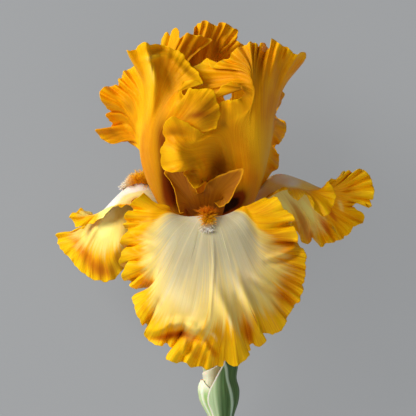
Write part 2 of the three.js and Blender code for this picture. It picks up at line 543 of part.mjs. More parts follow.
// The curve with its points averaged over about sigma neighbours. Its ends stay where they are.
function smoothed(curve, sigma) {
  const last = curve.length - 1;
  const reach = Math.min(Math.floor(3 * sigma) + 1, last);
  const at = (i) => {
    if (i < 0) return curve[0].clone().multiplyScalar(2).sub(curve[-i]);
    if (i > last) return curve[last].clone().multiplyScalar(2).sub(curve[2 * last - i]);
    return curve[i];
  };
  return curve.map((_, i) => {
    const sum = new THREE.Vector3();
    let total = 0;
    for (let k = -reach; k <= reach; k += 1) {
      const weight = Math.exp(-0.5 * (k / sigma) ** 2);
      sum.addScaledVector(at(i + k), weight);
      total += weight;
    }
    return sum.divideScalar(total);
  });
}

// ---- Sheets ----
// A petal's middle surface as rows of points.
function petalSheet(petal, radii) {
  const last = petal.rim.length - 1;
  const shares = petal.rim.flatMap((stretch, k) => stretch.map((_, j) =>
    new THREE.Vector3(k < last ? (k + j / stretch.length) / last : 1, 0, 0)));
  const columns = Math.round((shares.length - 1) * COLUMNS_PER_POINT);
  const sampled = (points) => Array.from({ length: columns + 1 }, (_, i) => along(points, i / columns));
  const margin = sampled(petal.rim.flat().map(point));
  const share = smoothed(sampled(shares), 1.5 * COLUMNS_PER_POINT)
    .map((v) => Math.min(Math.max(v.x, 0), 1));
  const broad = smoothed(margin, BROAD_SMOOTHING * COLUMNS_PER_POINT);
  const fine = smoothed(margin, FINE_SMOOTHING * COLUMNS_PER_POINT);
  const rings = petal.rings.map((ring) => ring.map(point));
  const at = [...petal.at, 1];
  return radii.map((radius) => {
    const folds = Math.max(0, (radius - FOLDS_FROM) / (1 - FOLDS_FROM)) ** FOLDS_POWER;
    const frills = Math.max(0, (radius - FRILLS_FROM) / (1 - FRILLS_FROM)) ** FRILLS_POWER;
    return margin.map((edge, i) =>
      across(at, [...rings.map((ring) => along(ring, share[i])), broad[i]], radius)
        .addScaledVector(fine[i].clone().sub(broad[i]), folds)
        .addScaledVector(edge.clone().sub(fine[i]), frills));
  });
}

// The height that the ridges and valleys add to a spot.
function reliefAt(spot, reliefs) {
  let total = 0;
  for (const [height, width, line] of reliefs) {
    let nearest = Infinity;
    let share = 0;
    for (let k = 0; k < line.length - 1; k += 1) {
      const from = new THREE.Vector2(...line[k]);
      const run = new THREE.Vector2(...line[k + 1]).sub(from);
      const offset = new THREE.Vector2(spot.x, spot.y).sub(from);
      const f = Math.min(Math.max(offset.dot(run) / run.lengthSq(), 0), 1);
      const away = offset.addScaledVector(run, -f).length();
      if (away < nearest) {
        nearest = away;
        share = (k + f) / (line.length - 1);
      }
    }
    const fade = RELIEF_ENDS + (1 - RELIEF_ENDS) * Math.sin(Math.PI * share);
    total += height * fade * Math.exp(-((nearest / width) ** 2));
  }
  return total;
}

// The sheet with the petal's ridges and valleys.
function raised(sheet, radii, reliefs) {
  return sheet.map((row, i) => row.map((v) => {
    const amount = THREE.MathUtils.smoothstep(radii[i], RELIEF_FROM, RELIEF_FULL);
    return new THREE.Vector3(v.x, v.y, v.z + amount * reliefAt(v, reliefs));
  }));
}

// The unit normals of a sheet of points.
function sheetNormals(sheet) {
  const rows = sheet.length - 1;
  const columns = sheet[0].length - 1;
  return sheet.map((row, i) => row.map((_, j) => {
    const down = sheet[Math.min(i + 1, rows)][j].clone().sub(sheet[Math.max(i - 1, 0)][j]);
    const over = sheet[i][Math.min(j + 1, columns)].clone().sub(sheet[i][Math.max(j - 1, 0)]);
    return down.cross(over).normalize();
  }));
}

// A closed solid between two sheets with the same rows and columns, split into triangles alike on both.
function solidBetween(front, back) {
  const rows = front.length;
  const columns = front[0].length;
  const positions = [...front.flat(), ...back.flat()].flatMap((v) => [v.x, v.y, v.z]);
  const index = (side, i, j) => side * rows * columns + i * columns + j;
  const faces = [];
  const quad = (a, b, c, d) => faces.push(a, b, c, a, c, d);
  for (let i = 0; i < rows - 1; i += 1) {
    for (let j = 0; j < columns - 1; j += 1) {
      const corners = (side) => [index(side, i, j), index(side, i, j + 1), index(side, i + 1, j + 1),
        index(side, i + 1, j)];
      const [a, b, c, d] = corners(0);
      quad(a, b, c, d);
      const [e, f, g, h] = corners(1);
      faces.push(e, g, f, e, h, g);
    }
  }
  for (let j = 0; j < columns - 1; j += 1) {
    quad(index(0, 0, j), index(1, 0, j), index(1, 0, j + 1), index(0, 0, j + 1));
    quad(index(0, rows - 1, j + 1), index(1, rows - 1, j + 1), index(1, rows - 1, j), index(0, rows - 1, j));
  }
  for (let i = 0; i < rows - 1; i += 1) {
    quad(index(0, i + 1, 0), index(1, i + 1, 0), index(1, i, 0), index(0, i, 0));
    quad(index(0, i, columns - 1), index(1, i, columns - 1), index(1, i + 1, columns - 1),
      index(0, i + 1, columns - 1));
  }
  const geometry = new THREE.BufferGeometry();
  geometry.setAttribute("position", new THREE.Float32BufferAttribute(positions, 3));
  geometry.setIndex(faces);
  return facingOut(geometry);
}

// The geometry with its triangles turned round if they face inwards.
function facingOut(geometry) {
  const p = geometry.getAttribute("position");
  const faces = geometry.getIndex().array;
  const corner = (i) => new THREE.Vector3().fromBufferAttribute(p, faces[i]);
  let volume = 0;
  for (let i = 0; i < faces.length; i += 3) volume += corner(i).dot(corner(i + 1).cross(corner(i + 2)));
  if (volume < 0) {
    for (let i = 0; i < faces.length; i += 3) [faces[i + 1], faces[i + 2]] = [faces[i + 2], faces[i + 1]];
  }
  geometry.computeVertexNormals();
  return geometry;
}

// The sheet moved along its own normals.
function offset(sheet, distance) {
  const normals = sheetNormals(sheet);
  return sheet.map((row, i) => row.map((v, j) => v.clone().addScaledVector(normals[i][j], distance)));
}

const blade = (sheet, thickness) => solidBetween(offset(sheet, thickness / 2), offset(sheet, -thickness / 2));

// ---- Beards: a low ridge of tufts along the middle of a fall's haft ----
const BEARD_COLUMNS = 6;
const BEARD_ROWS = 10;
const BEARD_SKIN = 0.5; // of the ridge at its edges

// from and to are radii of the fall, half is the ridge's half width in shares of the fall's width, side is
// the sign of the fall's normal that faces the hairs, and height is the longest tuft's.
function beard(fall, { from, to, middle, half, side, height }) {
  const last = fall.rings[0].length;
  const at = [...fall.at, 1];
  const rings = [...fall.rings, fall.rim.flat()].map((ring) => ring.map(point));
  const sheet = [];
  for (let i = 0; i <= BEARD_ROWS; i += 1) {
    const radius = from + (to - from) * (i / BEARD_ROWS);
    sheet.push([]);
    for (let j = 0; j <= BEARD_COLUMNS; j += 1) {
      const share = middle + half * (2 * (j / BEARD_COLUMNS) - 1);
      sheet[i].push(across(at, rings.map((ring) => along(ring, share)), radius));
    }
  }
  const clear = PETAL_THICKNESS / 2 + SEAT_GAP;
  const normals = sheetNormals(sheet);
  const lifted = (lift) => sheet.map((row, i) => row.map((v, j) =>
    v.clone().addScaledVector(normals[i][j], side * lift(i, j))));
  const tuft = (i, j) => {
    const edge = Math.sin(Math.PI * (j / BEARD_COLUMNS)) * Math.sin(Math.PI * (i / BEARD_ROWS)) ** 0.5;
    return BEARD_SKIN + height * edge * ((i + j) % 2 ? 1 : 0.45);
  };
  return solidBetween(lifted(() => clear), lifted((i, j) => clear + tuft(i, j)));
}

// ---- Round pieces: stem, tube and stamens ----
// A solid of round sections along a smooth path. stations hold [x, y, z, radius], and the far end is cut at a
// slant: it reaches slant times the radius further on its front side.
function roundPiece(stations, sides, slant = 0) {
  const rows = stations.length - 1;
  const path = new THREE.CatmullRomCurve3(stations.map(point), false, "centripetal");
  const positions = [];
  for (let i = 0; i <= rows; i += 1) {
    const u = i / rows;
    const centre = path.getPoint(u);
    const forward = path.getTangent(u);
    const right = new THREE.Vector3(1, 0, 0).addScaledVector(forward, -forward.x).normalize();
    const up = new THREE.Vector3().crossVectors(right, forward);
    const radius = stations[i][3];
    for (let k = 0; k < sides; k += 1) {
      const angle = (2 * Math.PI * k) / sides;
      const spot = centre.clone().addScaledVector(right, radius * Math.sin(angle))
        .addScaledVector(up, radius * Math.cos(angle))
        .addScaledVector(forward, i === rows ? slant * radius * Math.cos(angle) : 0);
      positions.push(spot.x, spot.y, spot.z);
    }
  }
  const ends = [path.getPoint(0), path.getPoint(1)];
  ends.forEach((v) => positions.push(v.x, v.y, v.z));
  const faces = [];
  for (let k = 0; k < sides; k += 1) {
    const next = (k + 1) % sides;
    for (let i = 0; i < rows; i += 1) {
      const a = i * sides;
      faces.push(a + k, a + next, a + sides + next, a + k, a + sides + next, a + sides + k);
    }
    const end = rows * sides;
    faces.push(end + sides, next, k, end + sides + 1, end + k, end + next);
  }
  const geometry = new THREE.BufferGeometry();
  geometry.setAttribute("position", new THREE.Float32BufferAttribute(positions, 3));
  geometry.setIndex(faces);
  return facingOut(geometry);
}

const TUBE = [
  [0, 3.55, 0, 3.9], [0, 2.7, 0, 2.5], [0, 1.6, 0, 1.9], [0, 0.8, 0, 1.9], [0, 0.6, 0, 6.2],
  [0, -0.6, 0, 6.6], [0, -4, 0, 6], [0, -10, 0, 5], [0.1, -20, 0, 4.2], [0.2, -34, 0, 3.9], [0.4, -50, 0, 3.7],
  [1.8, -57, 0, 3.2], [3.2, -64, 0, 3.8], [4.6, -71, 0, 3.6], [5.9, -78, 0, 2.4], [6.4, -82, 0, 1.9],
  [6.5, -83.6, 0, 1.7],
];
const STEM = [
  [6.5, -84, 0, 2.2], [6.5, -86.4, 0, 2.3], [6.5, -86.8, 0, 4.2], [6.5, -88.6, 0, 4.2], [6.5, -89, 0, 5.8],
  [6.6, -91, 0, 5.8], [6.7, -95, 0, 5.1], [7, -104, -0.2, 4.6], [7.6, -122, -0.8, 4.4], [8.4, -148, -2, 4.5],
];
const CUT_SLANT = 0.45;

// Filament and anther of the stamen under each style arm, drawn over a fall that faces the viewer.
const FRONT_STAMEN = [
  [0, 1.1, 4.35, 0.45], [0, 3.4, 5.9, 0.4], [0, 6.4, 8.2, 0.4], [0, 8.6, 10, 0.45], [0, 9.2, 10.6, 1],
  [0, 12, 13.4, 1.1], [0, 15, 16.4, 1], [0, 16.6, 18, 0.5],
];
const BACK_STAMEN = [
  [0, 1.1, 4.35, 0.45], [0, 4.5, 5.4, 0.4], [0, 8, 6.6, 0.4], [0, 10.6, 8, 0.45], [0, 11.3, 8.4, 1],
  [0, 14.5, 10.6, 1.1], [0, 17.5, 12.8, 1], [0, 19.2, 14, 0.5],
];

// ---- Spathe: bracts that wrap the ovary, each inside the last ----
// Each row gives a height, the section's centre x, its half width and depth, and the angles, from the front
// and positive to the right, of the bract's two edges.
const OUTER_BRACT = [
  [-88.3, 6.5, 5.3, 5.3, -85, 215], [-85, 6.5, 5.3, 5.2, -72, 212], [-77, 6.25, 6.75, 6, -38, 205],
  [-70, 5.6, 9.6, 8, -38, 195], [-64, 5.25, 10.5, 8.6, -27, 180], [-58, 5.4, 8.95, 8, -12, 155],
  [-52.5, 5.6, 9.4, 8.2, 6, 110], [-49.5, 5.6, 9.3, 8, 14, 72], [-47.6, 5.6, 8.9, 7.6, 18, 27],
];
const OUTER_KEEL_ANGLES = [60, 8]; // degrees from the front, at the bract's foot and at its tip
const OUTER_KEEL_HEIGHT = 0.9;
const LEFT_BRACT = [
  [-86.4, 6.5, 4.2, 4.2, -190, 20], [-82, 6.2, 4.1, 3.95, -190, 20], [-77, 5.5, 5.5, 4.4, -185, 15],
  [-70, 5.1, 9, 6.3, -180, 5], [-66, 4.8, 9.7, 7.1, -175, 0], [-63.5, 4.75, 9.9, 7.3, -165, -20],
  [-61, 4.8, 9.4, 7.4, -150, -40], [-58.8, 5, 8.6, 7.2, -128, -62],
];
const LEFT_KEEL_ANGLES = [-52, -52];
const LEFT_KEEL_HEIGHT = 0.4;
const PAPERY_BRACT = [
  [-86.4, 6.5, 3.15, 3.15, -170, 120], [-82, 6.3, 3.1, 3, -170, 120], [-77, 5.8, 4.2, 3.5, -165, 115],
  [-70, 5.2, 7.7, 5.4, -160, 105], [-63, 5, 8.5, 6.3, -150, 90], [-58.5, 5.1, 7.7, 6.3, -125, 75],
  [-56, 5.2, 8.1, 6.5, -98, 70], [-54.8, 5.3, 8.1, 6.6, -66, 68], [-53.5, 5.4, 7.9, 6.6, -35, 66],
  [-51, 5.5, 7.5, 6.4, 2, 60], [-49.4, 5.5, 7.2, 6.2, 26, 50],
];
const BRACT_COLUMNS = 16;
const KEEL_WIDTH = 9; // degrees

function bractSheet(rows, [footAngle, tipAngle], keelHeight) {
  return rows.map(([y, centre, halfWidth, halfDepth, from, to], i) =>
    Array.from({ length: BRACT_COLUMNS + 1 }, (_, j) => {
      const degrees = from + (to - from) * (j / BRACT_COLUMNS);
      const angle = THREE.MathUtils.degToRad(degrees);
      const share = i / (rows.length - 1);
      const fade = Math.sin(Math.PI * share) ** 0.5;
      const keelAngle = footAngle + (tipAngle - footAngle) * share;
      const keel = keelHeight * fade * Math.exp(-(((degrees - keelAngle) / KEEL_WIDTH) ** 2));
      return new THREE.Vector3(centre + (halfWidth + keel - BRACT_THICKNESS / 2) * Math.sin(angle), y,
        (halfDepth + keel - BRACT_THICKNESS / 2) * Math.cos(angle));
    }));
}

// ---- Colours ----
const finish = (color, roughness = 0.55) =>
  new THREE.MeshStandardMaterial({ color, roughness, metalness: 0, side: THREE.FrontSide });
const GOLD = finish(0xe8a00a);
const CREAM_AND_GOLD = finish(0xf0dfa0);
const STYLE_GOLD = finish(0xc98a14);
const BEARD_ORANGE = finish(0xc2610c, 0.8);
const ANTHER_CREAM = finish(0xe9dfae, 0.7);
const TUBE_GREEN = finish(0xdfe6b4);
const LEAF_GREEN = finish(0x3f5f2c, 0.5);
const PALE_GREEN = finish(0xc9d79a, 0.5);
const PAPER = finish(0xd9cfa6, 0.7);

function piece(name, geometry, material) {
  const mesh = new THREE.Mesh(geometry, material);
  mesh.name = name;
  return mesh;
}

// ---- The flower ----
const flower = new THREE.Group();
flower.rotation.x = THREE.MathUtils.degToRad(LYING_TILT);

const petals = [
  ["front_fall", FRONT_FALL, CREAM_AND_GOLD], ["left_fall", LEFT_FALL, CREAM_AND_GOLD],
  ["right_fall", RIGHT_FALL, CREAM_AND_GOLD], ["left_standard", LEFT_STANDARD, GOLD],
  ["right_standard", RIGHT_STANDARD, GOLD], ["back_standard", BACK_STANDARD, GOLD],
];
for (const [name, petal, material] of petals) {
  const sheet = raised(petalSheet(petal, PETAL_ROWS), PETAL_ROWS, RELIEFS[name]);
  flower.add(piece(name, blade(sheet, PETAL_THICKNESS), material));
}

flower.add(piece("front_beard", beard(FRONT_FALL,
  { from: 0.16, to: 0.42, middle: 0.5, half: 0.12, side: 1, height: 2.6 }), BEARD_ORANGE));
flower.add(piece("left_beard", beard(LEFT_FALL,
  { from: 0.2, to: 0.42, middle: 0.5, half: 0.09, side: -1, height: 4 }), BEARD_ORANGE));
flower.add(piece("right_beard", beard(RIGHT_FALL,
  { from: 0.14, to: 0.26, middle: 0.5, half: 0.08, side: 1, height: 1.8 }), BEARD_ORANGE));

const styles = [
  ["front_style", FRONT_STYLE, 0], ["left_style", BACK_STYLE, -BACK_STYLE_TURN],
  ["right_style", BACK_STYLE, BACK_STYLE_TURN],
];
for (const [name, style, turn] of styles) {
  const arm = piece(name, blade(petalSheet(style, STYLE_ROWS), PETAL_THICKNESS), STYLE_GOLD);
  arm.rotation.y = THREE.MathUtils.degToRad(turn);
  flower.add(arm);
}

const stamens = [
  ["front_stamen", FRONT_STAMEN, 0], ["left_stamen", BACK_STAMEN, -BACK_STYLE_TURN],
  ["right_stamen", BACK_STAMEN, BACK_STYLE_TURN],
];
for (const [name, path, turn] of stamens) {
  const stamen = piece(name, roundPiece(path, 5), ANTHER_CREAM);
  stamen.rotation.y = THREE.MathUtils.degToRad(turn);
  flower.add(stamen);
}

flower.add(piece("tube_and_ovary", roundPiece(TUBE, 12), TUBE_GREEN));
flower.add(piece("stem", roundPiece(STEM, 12, CUT_SLANT), LEAF_GREEN));
flower.add(piece("outer_bract",
  blade(bractSheet(OUTER_BRACT, OUTER_KEEL_ANGLES, OUTER_KEEL_HEIGHT), BRACT_THICKNESS), LEAF_GREEN));
flower.add(piece("left_bract",
  blade(bractSheet(LEFT_BRACT, LEFT_KEEL_ANGLES, LEFT_KEEL_HEIGHT), BRACT_THICKNESS), PALE_GREEN));
flower.add(piece("papery_bract", blade(bractSheet(PAPERY_BRACT, [0, 0], 0), BRACT_THICKNESS), PAPER));

// ---- Laid down: the lowest points touch the surface, and the box's middle is over the origin ----
const laid = new THREE.Group();
laid.add(flower);
laid.updateMatrixWorld(true);
const box = new THREE.Box3().setFromObject(laid, true);
laid.position.set(-(box.min.x + box.max.x) / 2, -(box.min.y + box.max.y) / 2, -box.min.z);

const root = new THREE.Group();
root.add(laid);

export default root;
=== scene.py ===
# Dresses the cut iris flower: petals with crimped margins and veins, hairy beards, bracts, tube and stem.
# Petals are drawn in the flower's own frame in millimetres, x to the right, y up the flower and z out
# of its face, and are then laid down with the CAD model.
import math

import bpy
import numpy as np
from mathutils import Matrix, Vector


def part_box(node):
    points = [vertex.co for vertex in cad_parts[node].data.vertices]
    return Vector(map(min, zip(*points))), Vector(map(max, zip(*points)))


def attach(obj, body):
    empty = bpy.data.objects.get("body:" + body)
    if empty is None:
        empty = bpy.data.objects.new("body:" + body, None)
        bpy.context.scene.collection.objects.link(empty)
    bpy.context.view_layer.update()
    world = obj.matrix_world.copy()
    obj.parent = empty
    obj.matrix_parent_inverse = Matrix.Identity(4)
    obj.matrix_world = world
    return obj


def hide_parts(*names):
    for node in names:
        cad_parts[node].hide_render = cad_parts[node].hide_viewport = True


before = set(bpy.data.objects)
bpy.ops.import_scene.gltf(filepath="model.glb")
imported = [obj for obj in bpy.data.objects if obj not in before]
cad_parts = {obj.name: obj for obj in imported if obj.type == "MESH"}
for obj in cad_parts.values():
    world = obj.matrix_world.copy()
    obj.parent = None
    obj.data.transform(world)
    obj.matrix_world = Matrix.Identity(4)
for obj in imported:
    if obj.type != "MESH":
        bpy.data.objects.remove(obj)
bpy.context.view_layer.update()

# ---- Driving sizes, in millimetres ----
LYING_TILT = math.radians(13.8)
SCALE_OF_PHOTO = 0.5  # millimetres to a pixel
PHOTO_SIDE = 416
AXIS_COLUMN = 208
CLAW_ROW = 262  # of the point where the petals meet
CAMERA_DISTANCE = 2000

# ---- Petals ----
# Rings of points x,y,z from the claw outwards, each from left to right, and the margin in stretches that
# take up equal shares of the width. at gives each ring's radius, where the margin's is 1.
FRONT_FALL = {
  "at": [0, 0.12, 0.25, 0.36, 0.62],
  "rings": [
    [-1.8,1,5.1, 0,1,5.5, 1.8,1,5.1],
    [-5.5,12,14, 0,12.5,18, 5.5,12,14],
    [-12,20.5,24, -6.5,22.5,30, 0,23.5,33, 6.5,23,31, 12.5,24.5,26],
    [-17,24.5,27, -16,23.5,32, -13.5,20,36.5, -8.5,16.5,40, 0,15,42, 7,16.5,41, 12,19.5,38.5, 15,23.5,35,
     16,27,29],
    [-19,27.5,30, -25,25,33, -27,19.5,36, -27.5,13,38.5, -26.5,6.5,41, -24.5,0,43, -21,-7.5,46,
     -14,-15,49.5, 0.5,-20,52.5, 10,-18,51, 16,-14,49, 21,-8.5,46.5, 24.5,-1.5,44, 25.5,6.5,41.5,
     25,14.5,39, 23,22,36, 19,28,31],
  ],
  "rim": [
    [-25,29.5,30, -28,31,31, -31.5,34,31, -34.5,31.75,34],
    [-38,29,30, -36.5,26,24, -40,25.25,32, -41.75,22.5,33, -40.25,20.25,27],
    [-42.5,19,32, -41,17,28, -39,16.25,31, -41.5,14,33],
    [-43.25,11,34, -42.5,8.5,31, -40.5,6.5,25, -40,7.75,32, -42,6,34],
    [-43.5,2.5,34, -43.75,-1,31, -40.5,-2,24, -38.5,1.5,32, -41,-1.5,35],
    [-43,-6,35, -41.5,-8.75,32, -38.5,-9.5,28, -38.5,-11.5,33, -37,-12.75,31, -35.25,-13.25,28,
     -32,-12.25,27, -28.5,-12,27, -24.5,-15.5,29, -21.5,-20,36, -22.75,-24,41, -24.5,-20.5,36, -27,-16,28,
     -31,-14.5,27, -34.5,-15,30],
    [-37,-17,34, -36.5,-20.5,36, -35,-24.5,38, -33.5,-28.5,39, -32,-31,37, -30.5,-30.5,31, -31,-33,35],
    [-31.5,-35.75,34, -29,-37.75,36, -26,-40,38, -23,-40.75,38, -21,-39.75,35, -18.5,-41.25,38,
     -16,-40.75,36, -13.5,-39,33],
    [-15,-39.5,33, -18,-42.5,34, -20.5,-46,38, -18.5,-48,41, -16,-49.5,39, -13.5,-48.75,36, -11,-49.5,42,
     -9,-51,40, -7,-51,38, -5,-51.25,41, -3,-50.75,39],
    [-0.5,-52,41, 2,-51.5,39, 4.5,-50,37, 7,-50.5,40, 8,-48,40, 10.5,-49.5,41, 14,-50.5,43, 16,-48.5,42,
     19,-47,42, 20.25,-45,41, 17.5,-43.75,38],
    [16,-42.5,41, 18.5,-43.5,33, 20.75,-42.75,33, 20.25,-40.5,32, 22,-39.5,33, 23.5,-40.75,35,
     25.5,-40.5,36, 27.5,-39,37, 28.5,-37.75,37, 27,-35.75,34],
    [25.75,-34.75,41, 27.5,-34.5,34, 30,-35,34, 32.5,-35.25,35, 34.5,-34.75,36, 35.75,-32.5,36],
    [38.5,-29.25,37, 39,-27.5,35, 41,-24.5,37, 43,-21.75,37, 43.25,-20.75,33, 45,-19.25,38],
    [46,-16,37, 46.5,-13.5,38, 46.25,-11,35, 47.5,-8.5,38, 48,-5.5,37, 47.5,-4,35, 48,-1.5,37],
    [48,1,36, 48.25,3,35, 46.5,6.5,32, 45,9.5,29, 43,11,27, 44,9.5,35, 44.25,12,37],
    [43,15.5,37, 41.5,18.5,34, 40.5,19,29, 42.5,20,33, 43,21.5,36, 41.5,23.25,36, 39.5,25,35],
    [38,26,34, 36.5,28.75,34, 35,31.5,33, 33.5,32.5,31, 31,31.75,30],
    [27,31.5,29],
  ],
}
LEFT_FALL = {
  "at": [0, 0.12, 0.25, 0.42, 0.68],
  "rings": [
    [-5.4,1,-0.6, -4.9,1,-2.6, -3.7,1,-4.1],
    [-12.5,14.5,-2, -16,20,-9, -13.5,16.5,-16],
    [-22.5,25,-2, -28,38,-13, -22.5,31,-24],
    [-30.5,27.5,5, -39,29.5,1, -43.5,32.5,-5, -41,37.5,-13, -36,41,-24, -31,39,-31, -25.5,33,-28],
    [-28,28.5,8, -45,28.5,1, -55,24.5,-5, -56.5,22.5,-12, -61,17,-12, -60.5,12,-7, -53.5,9.5,0, -47,11,4,
     -40,13,3, -34,18,-13, -30,24,-34, -28.5,29,-38, -22.5,30.5,-25],
  ],
  "rim": [
    [-25,28.5,8, -29,29.5,9, -33,31.5,8, -36,32.5,6, -38.5,30.5,8, -38,27.5,6, -40.5,28.5,3, -43,27.5,6,
     -45,29,3],
    [-48,26.5,2, -51,24,2, -54,21.5,0, -57,20,0, -60,18.5,-3, -62.5,18,-3],
    [-65.5,17,-4, -67.5,20,-8, -69.5,22.5,-6, -68,24.5,-9, -66.5,25,-8, -65,27,-10, -62,25.5,-12,
     -58,24,-14],
    [-58.5,20,-15, -62,16.5,-13, -66,16.5,-15, -69,15,-14, -73.5,14.5,-17],
    [-77,13.75,-16, -75.5,11.5,-18, -75.25,9,-16, -74.5,6.5,-16, -72.5,4.75,-15, -71,3,-15],
    [-69,0,-13, -67.5,-1.5,-14, -65,-3.5,-11, -62.5,-6,-11, -60,-7.5,-8, -58,-8.75,-8],
    [-55,-9,-6, -52,-10,-6, -49,-9.5,-3, -46,-8,-4],
    [-43.5,-5,-1, -41,-3,-4, -38,-2,-1, -35,0,-6],
    [-31.5,2.5,-7, -29,6,-18, -26,8,-26],
    [-24,13,-42, -21,16,-40, -22,20,-48],
    [-20,25,-46, -22,28.5,-51, -24,31,-46],
    [-25,32.5,-40, -23,32.5,-33],
    [-20,30,-24],
  ],
}
RIGHT_FALL = {
  "at": [0, 0.12, 0.25, 0.42, 0.68],
  "rings": [
    [5.4,1,-0.6, 4.9,1,-2.6, 3.7,1,-4.1],
    [12.5,14.5,-2, 15,18.5,-8, 13,15.5,-15],
    [22,25,-2, 25,35,-11, 22,29.5,-22],
    [27.5,29.5,5, 36.5,37.5,3, 39.5,41.5,-5, 36.5,44,-13, 32.5,42.5,-22, 29,37.5,-30, 24.5,31.5,-28],
    [25,30,8, 40,36.5,7, 51,35.5,4, 59,36.5,0, 61.5,34.5,-6, 60.5,30.5,-11, 57,26.5,-16, 52.5,25,-20,
     48.5,25,-25, 43.5,26.5,-30, 37,28.5,-36, 31,30.5,-37, 23,30.5,-24],
  ],
  "rim": [
    [23,26.5,-1, 25.5,29,3, 28.5,32.25,6, 33,35.75,9, 36.5,36,7],
    [39.5,37,11, 41.5,33,13, 44,30,14, 46.5,31.5,12, 48.5,34.5,8, 51,32.5,10, 53,29,12, 53.25,26,14,
     55.5,24,15, 58,23,14, 61,24.5,12, 62.5,28,9, 63.5,32,7, 63,35.5,6],
    [61.5,37.5,10, 60.5,40,10, 62,41.5,8, 64.5,41.25,4, 67,43,6, 68,45,2, 70,45.75,5, 72,44.5,1,
     73.25,43.5,-2, 74.25,45,3],
    [75,46.75,6, 77,46.5,1, 79.5,45,4, 81.25,43,-1, 81.75,40.5,3, 83,38,-2, 83.25,35,2, 82.5,32,-2,
     80.75,31.5,-5],
    [81.5,28.5,-2, 80.75,27.5,-6, 78.5,29.25,-3, 76,30,-8, 73.75,29.25,-5, 72.75,27.5,-10],
    [75,26,-6, 78.5,23,-9, 78,20.5,-12, 76,18.5,-8, 74,17.5,-13, 72,15,-10, 69,13,-14],
    [67,12,-11, 65.5,16,-17, 63.5,20.5,-22, 65,16,-25, 67.5,11.75,-21],
    [65,10.5,-25, 63.5,9,-21, 60.5,9,-26, 58,7.75,-20, 56,8.5,-25, 54,11,-29],
    [52.5,12.5,-31, 52.25,10.5,-26, 50.5,8.75,-22, 47.5,10,-26, 46.5,13,-31],
    [44.5,15.5,-30, 42,17.5,-36, 39.5,18.5,-34],
    [36,21.5,-43, 32,23.5,-46, 29,26.5,-51],
    [26.5,29.5,-48, 24,31,-40],
    [21,30,-23],
  ],
}
LEFT_STANDARD = {
  "at": [0, 0.13, 0.28, 0.5, 0.74],
  "rings": [
    [-3.2,1,4.5, -4.75,1,2.8, -5.4,1,1],
    [-8.5,16.5,11, -13,20,17, -17.5,21.5,15, -18.5,19.5,9, -16.5,16,5],
    [-12,27,12, -15,33,17, -19,36.5,24, -24,38.5,25, -29,39,17, -28.5,37,8, -25.5,33,2],
    [-11,31,14, -12,42,20, -14.5,52,28, -18,56,34, -21.5,58,35, -25,59.5,34, -28.5,60,30, -31.5,60,24,
     -34,59.5,16, -33.5,57.5,8, -32,55,2, -30.5,51,-3, -28,44.5,-3],
    [-12.5,29,13, -11.5,45.5,24, -9,59.5,38, -5.5,68,46, -10.5,75,45.5, -17,78,42.5, -21.5,82,38,
     -27.5,85,37, -30,83,24, -34.5,78.5,8, -40,74.5,0, -39,68,-7, -30,48,-7],
  ],
  "rim": [
    [-11.5,28.5,12, -11,33.5,16, -10.5,41,21],
    [-10.5,48.5,24, -10.5,56,27, -9,61.5,31],
    [-5.5,65.5,41, -1,65.25,43.5, 3,65.5,44, 5,69,44],
    [6.25,73,43.5, 6,76,43.5, 4.5,79,43, 3.5,82,43, 2.5,84.75,42, 0,85.5,42],
    [-4,85,41, -7,85.75,42, -9.5,85.5,41, -11.5,82,42, -12.5,83,42],
    [-13,86.5,40, -12,89,39, -9,89.75,39, -5.5,89,39.5, -2.5,87.75,40, -3.5,91,39, -5.5,94,37],
    [-8.5,97,35, -10.5,100.25,34, -12,102.75,34, -15,104.25,33, -19,106,34, -22,107,33, -25,108,34,
     -28,107.25,36],
    [-30.5,108.25,41, -33,107.25,37, -35.5,105.5,34, -38,103.75,36],
    [-40,104.25,36, -38.5,102,30, -36,99,24, -34,96.5,16, -35.5,97.5,10, -37.5,97.25,6, -40,96.5,2,
     -42,95,6, -43,92.5,-1, -44.5,91,3],
    [-45,88,-5, -47,88.75,0, -49.5,88,-4, -52,87,1],
    [-53.75,84.5,-1, -53.75,82,3, -52.5,79,-1, -50,76.5,-5, -48.5,75.5,-10, -50,74.5,-4, -51.25,73.5,-3,
     -50,71.5,-6, -48.75,69.5,-9],
    [-49,67.5,-13, -52.5,67,-8, -56.5,66.25,-6, -55,64,-10, -52.5,61.5,-12, -49.5,59.5,-12, -46,59.5,-11,
     -44.5,62,-14, -42.5,64,-18, -41,62,-13, -39.5,60,-14, -38,62,-17, -36.5,63.5,-18, -34.5,59.5,-16],
    [-30,47,-9],
  ],
}
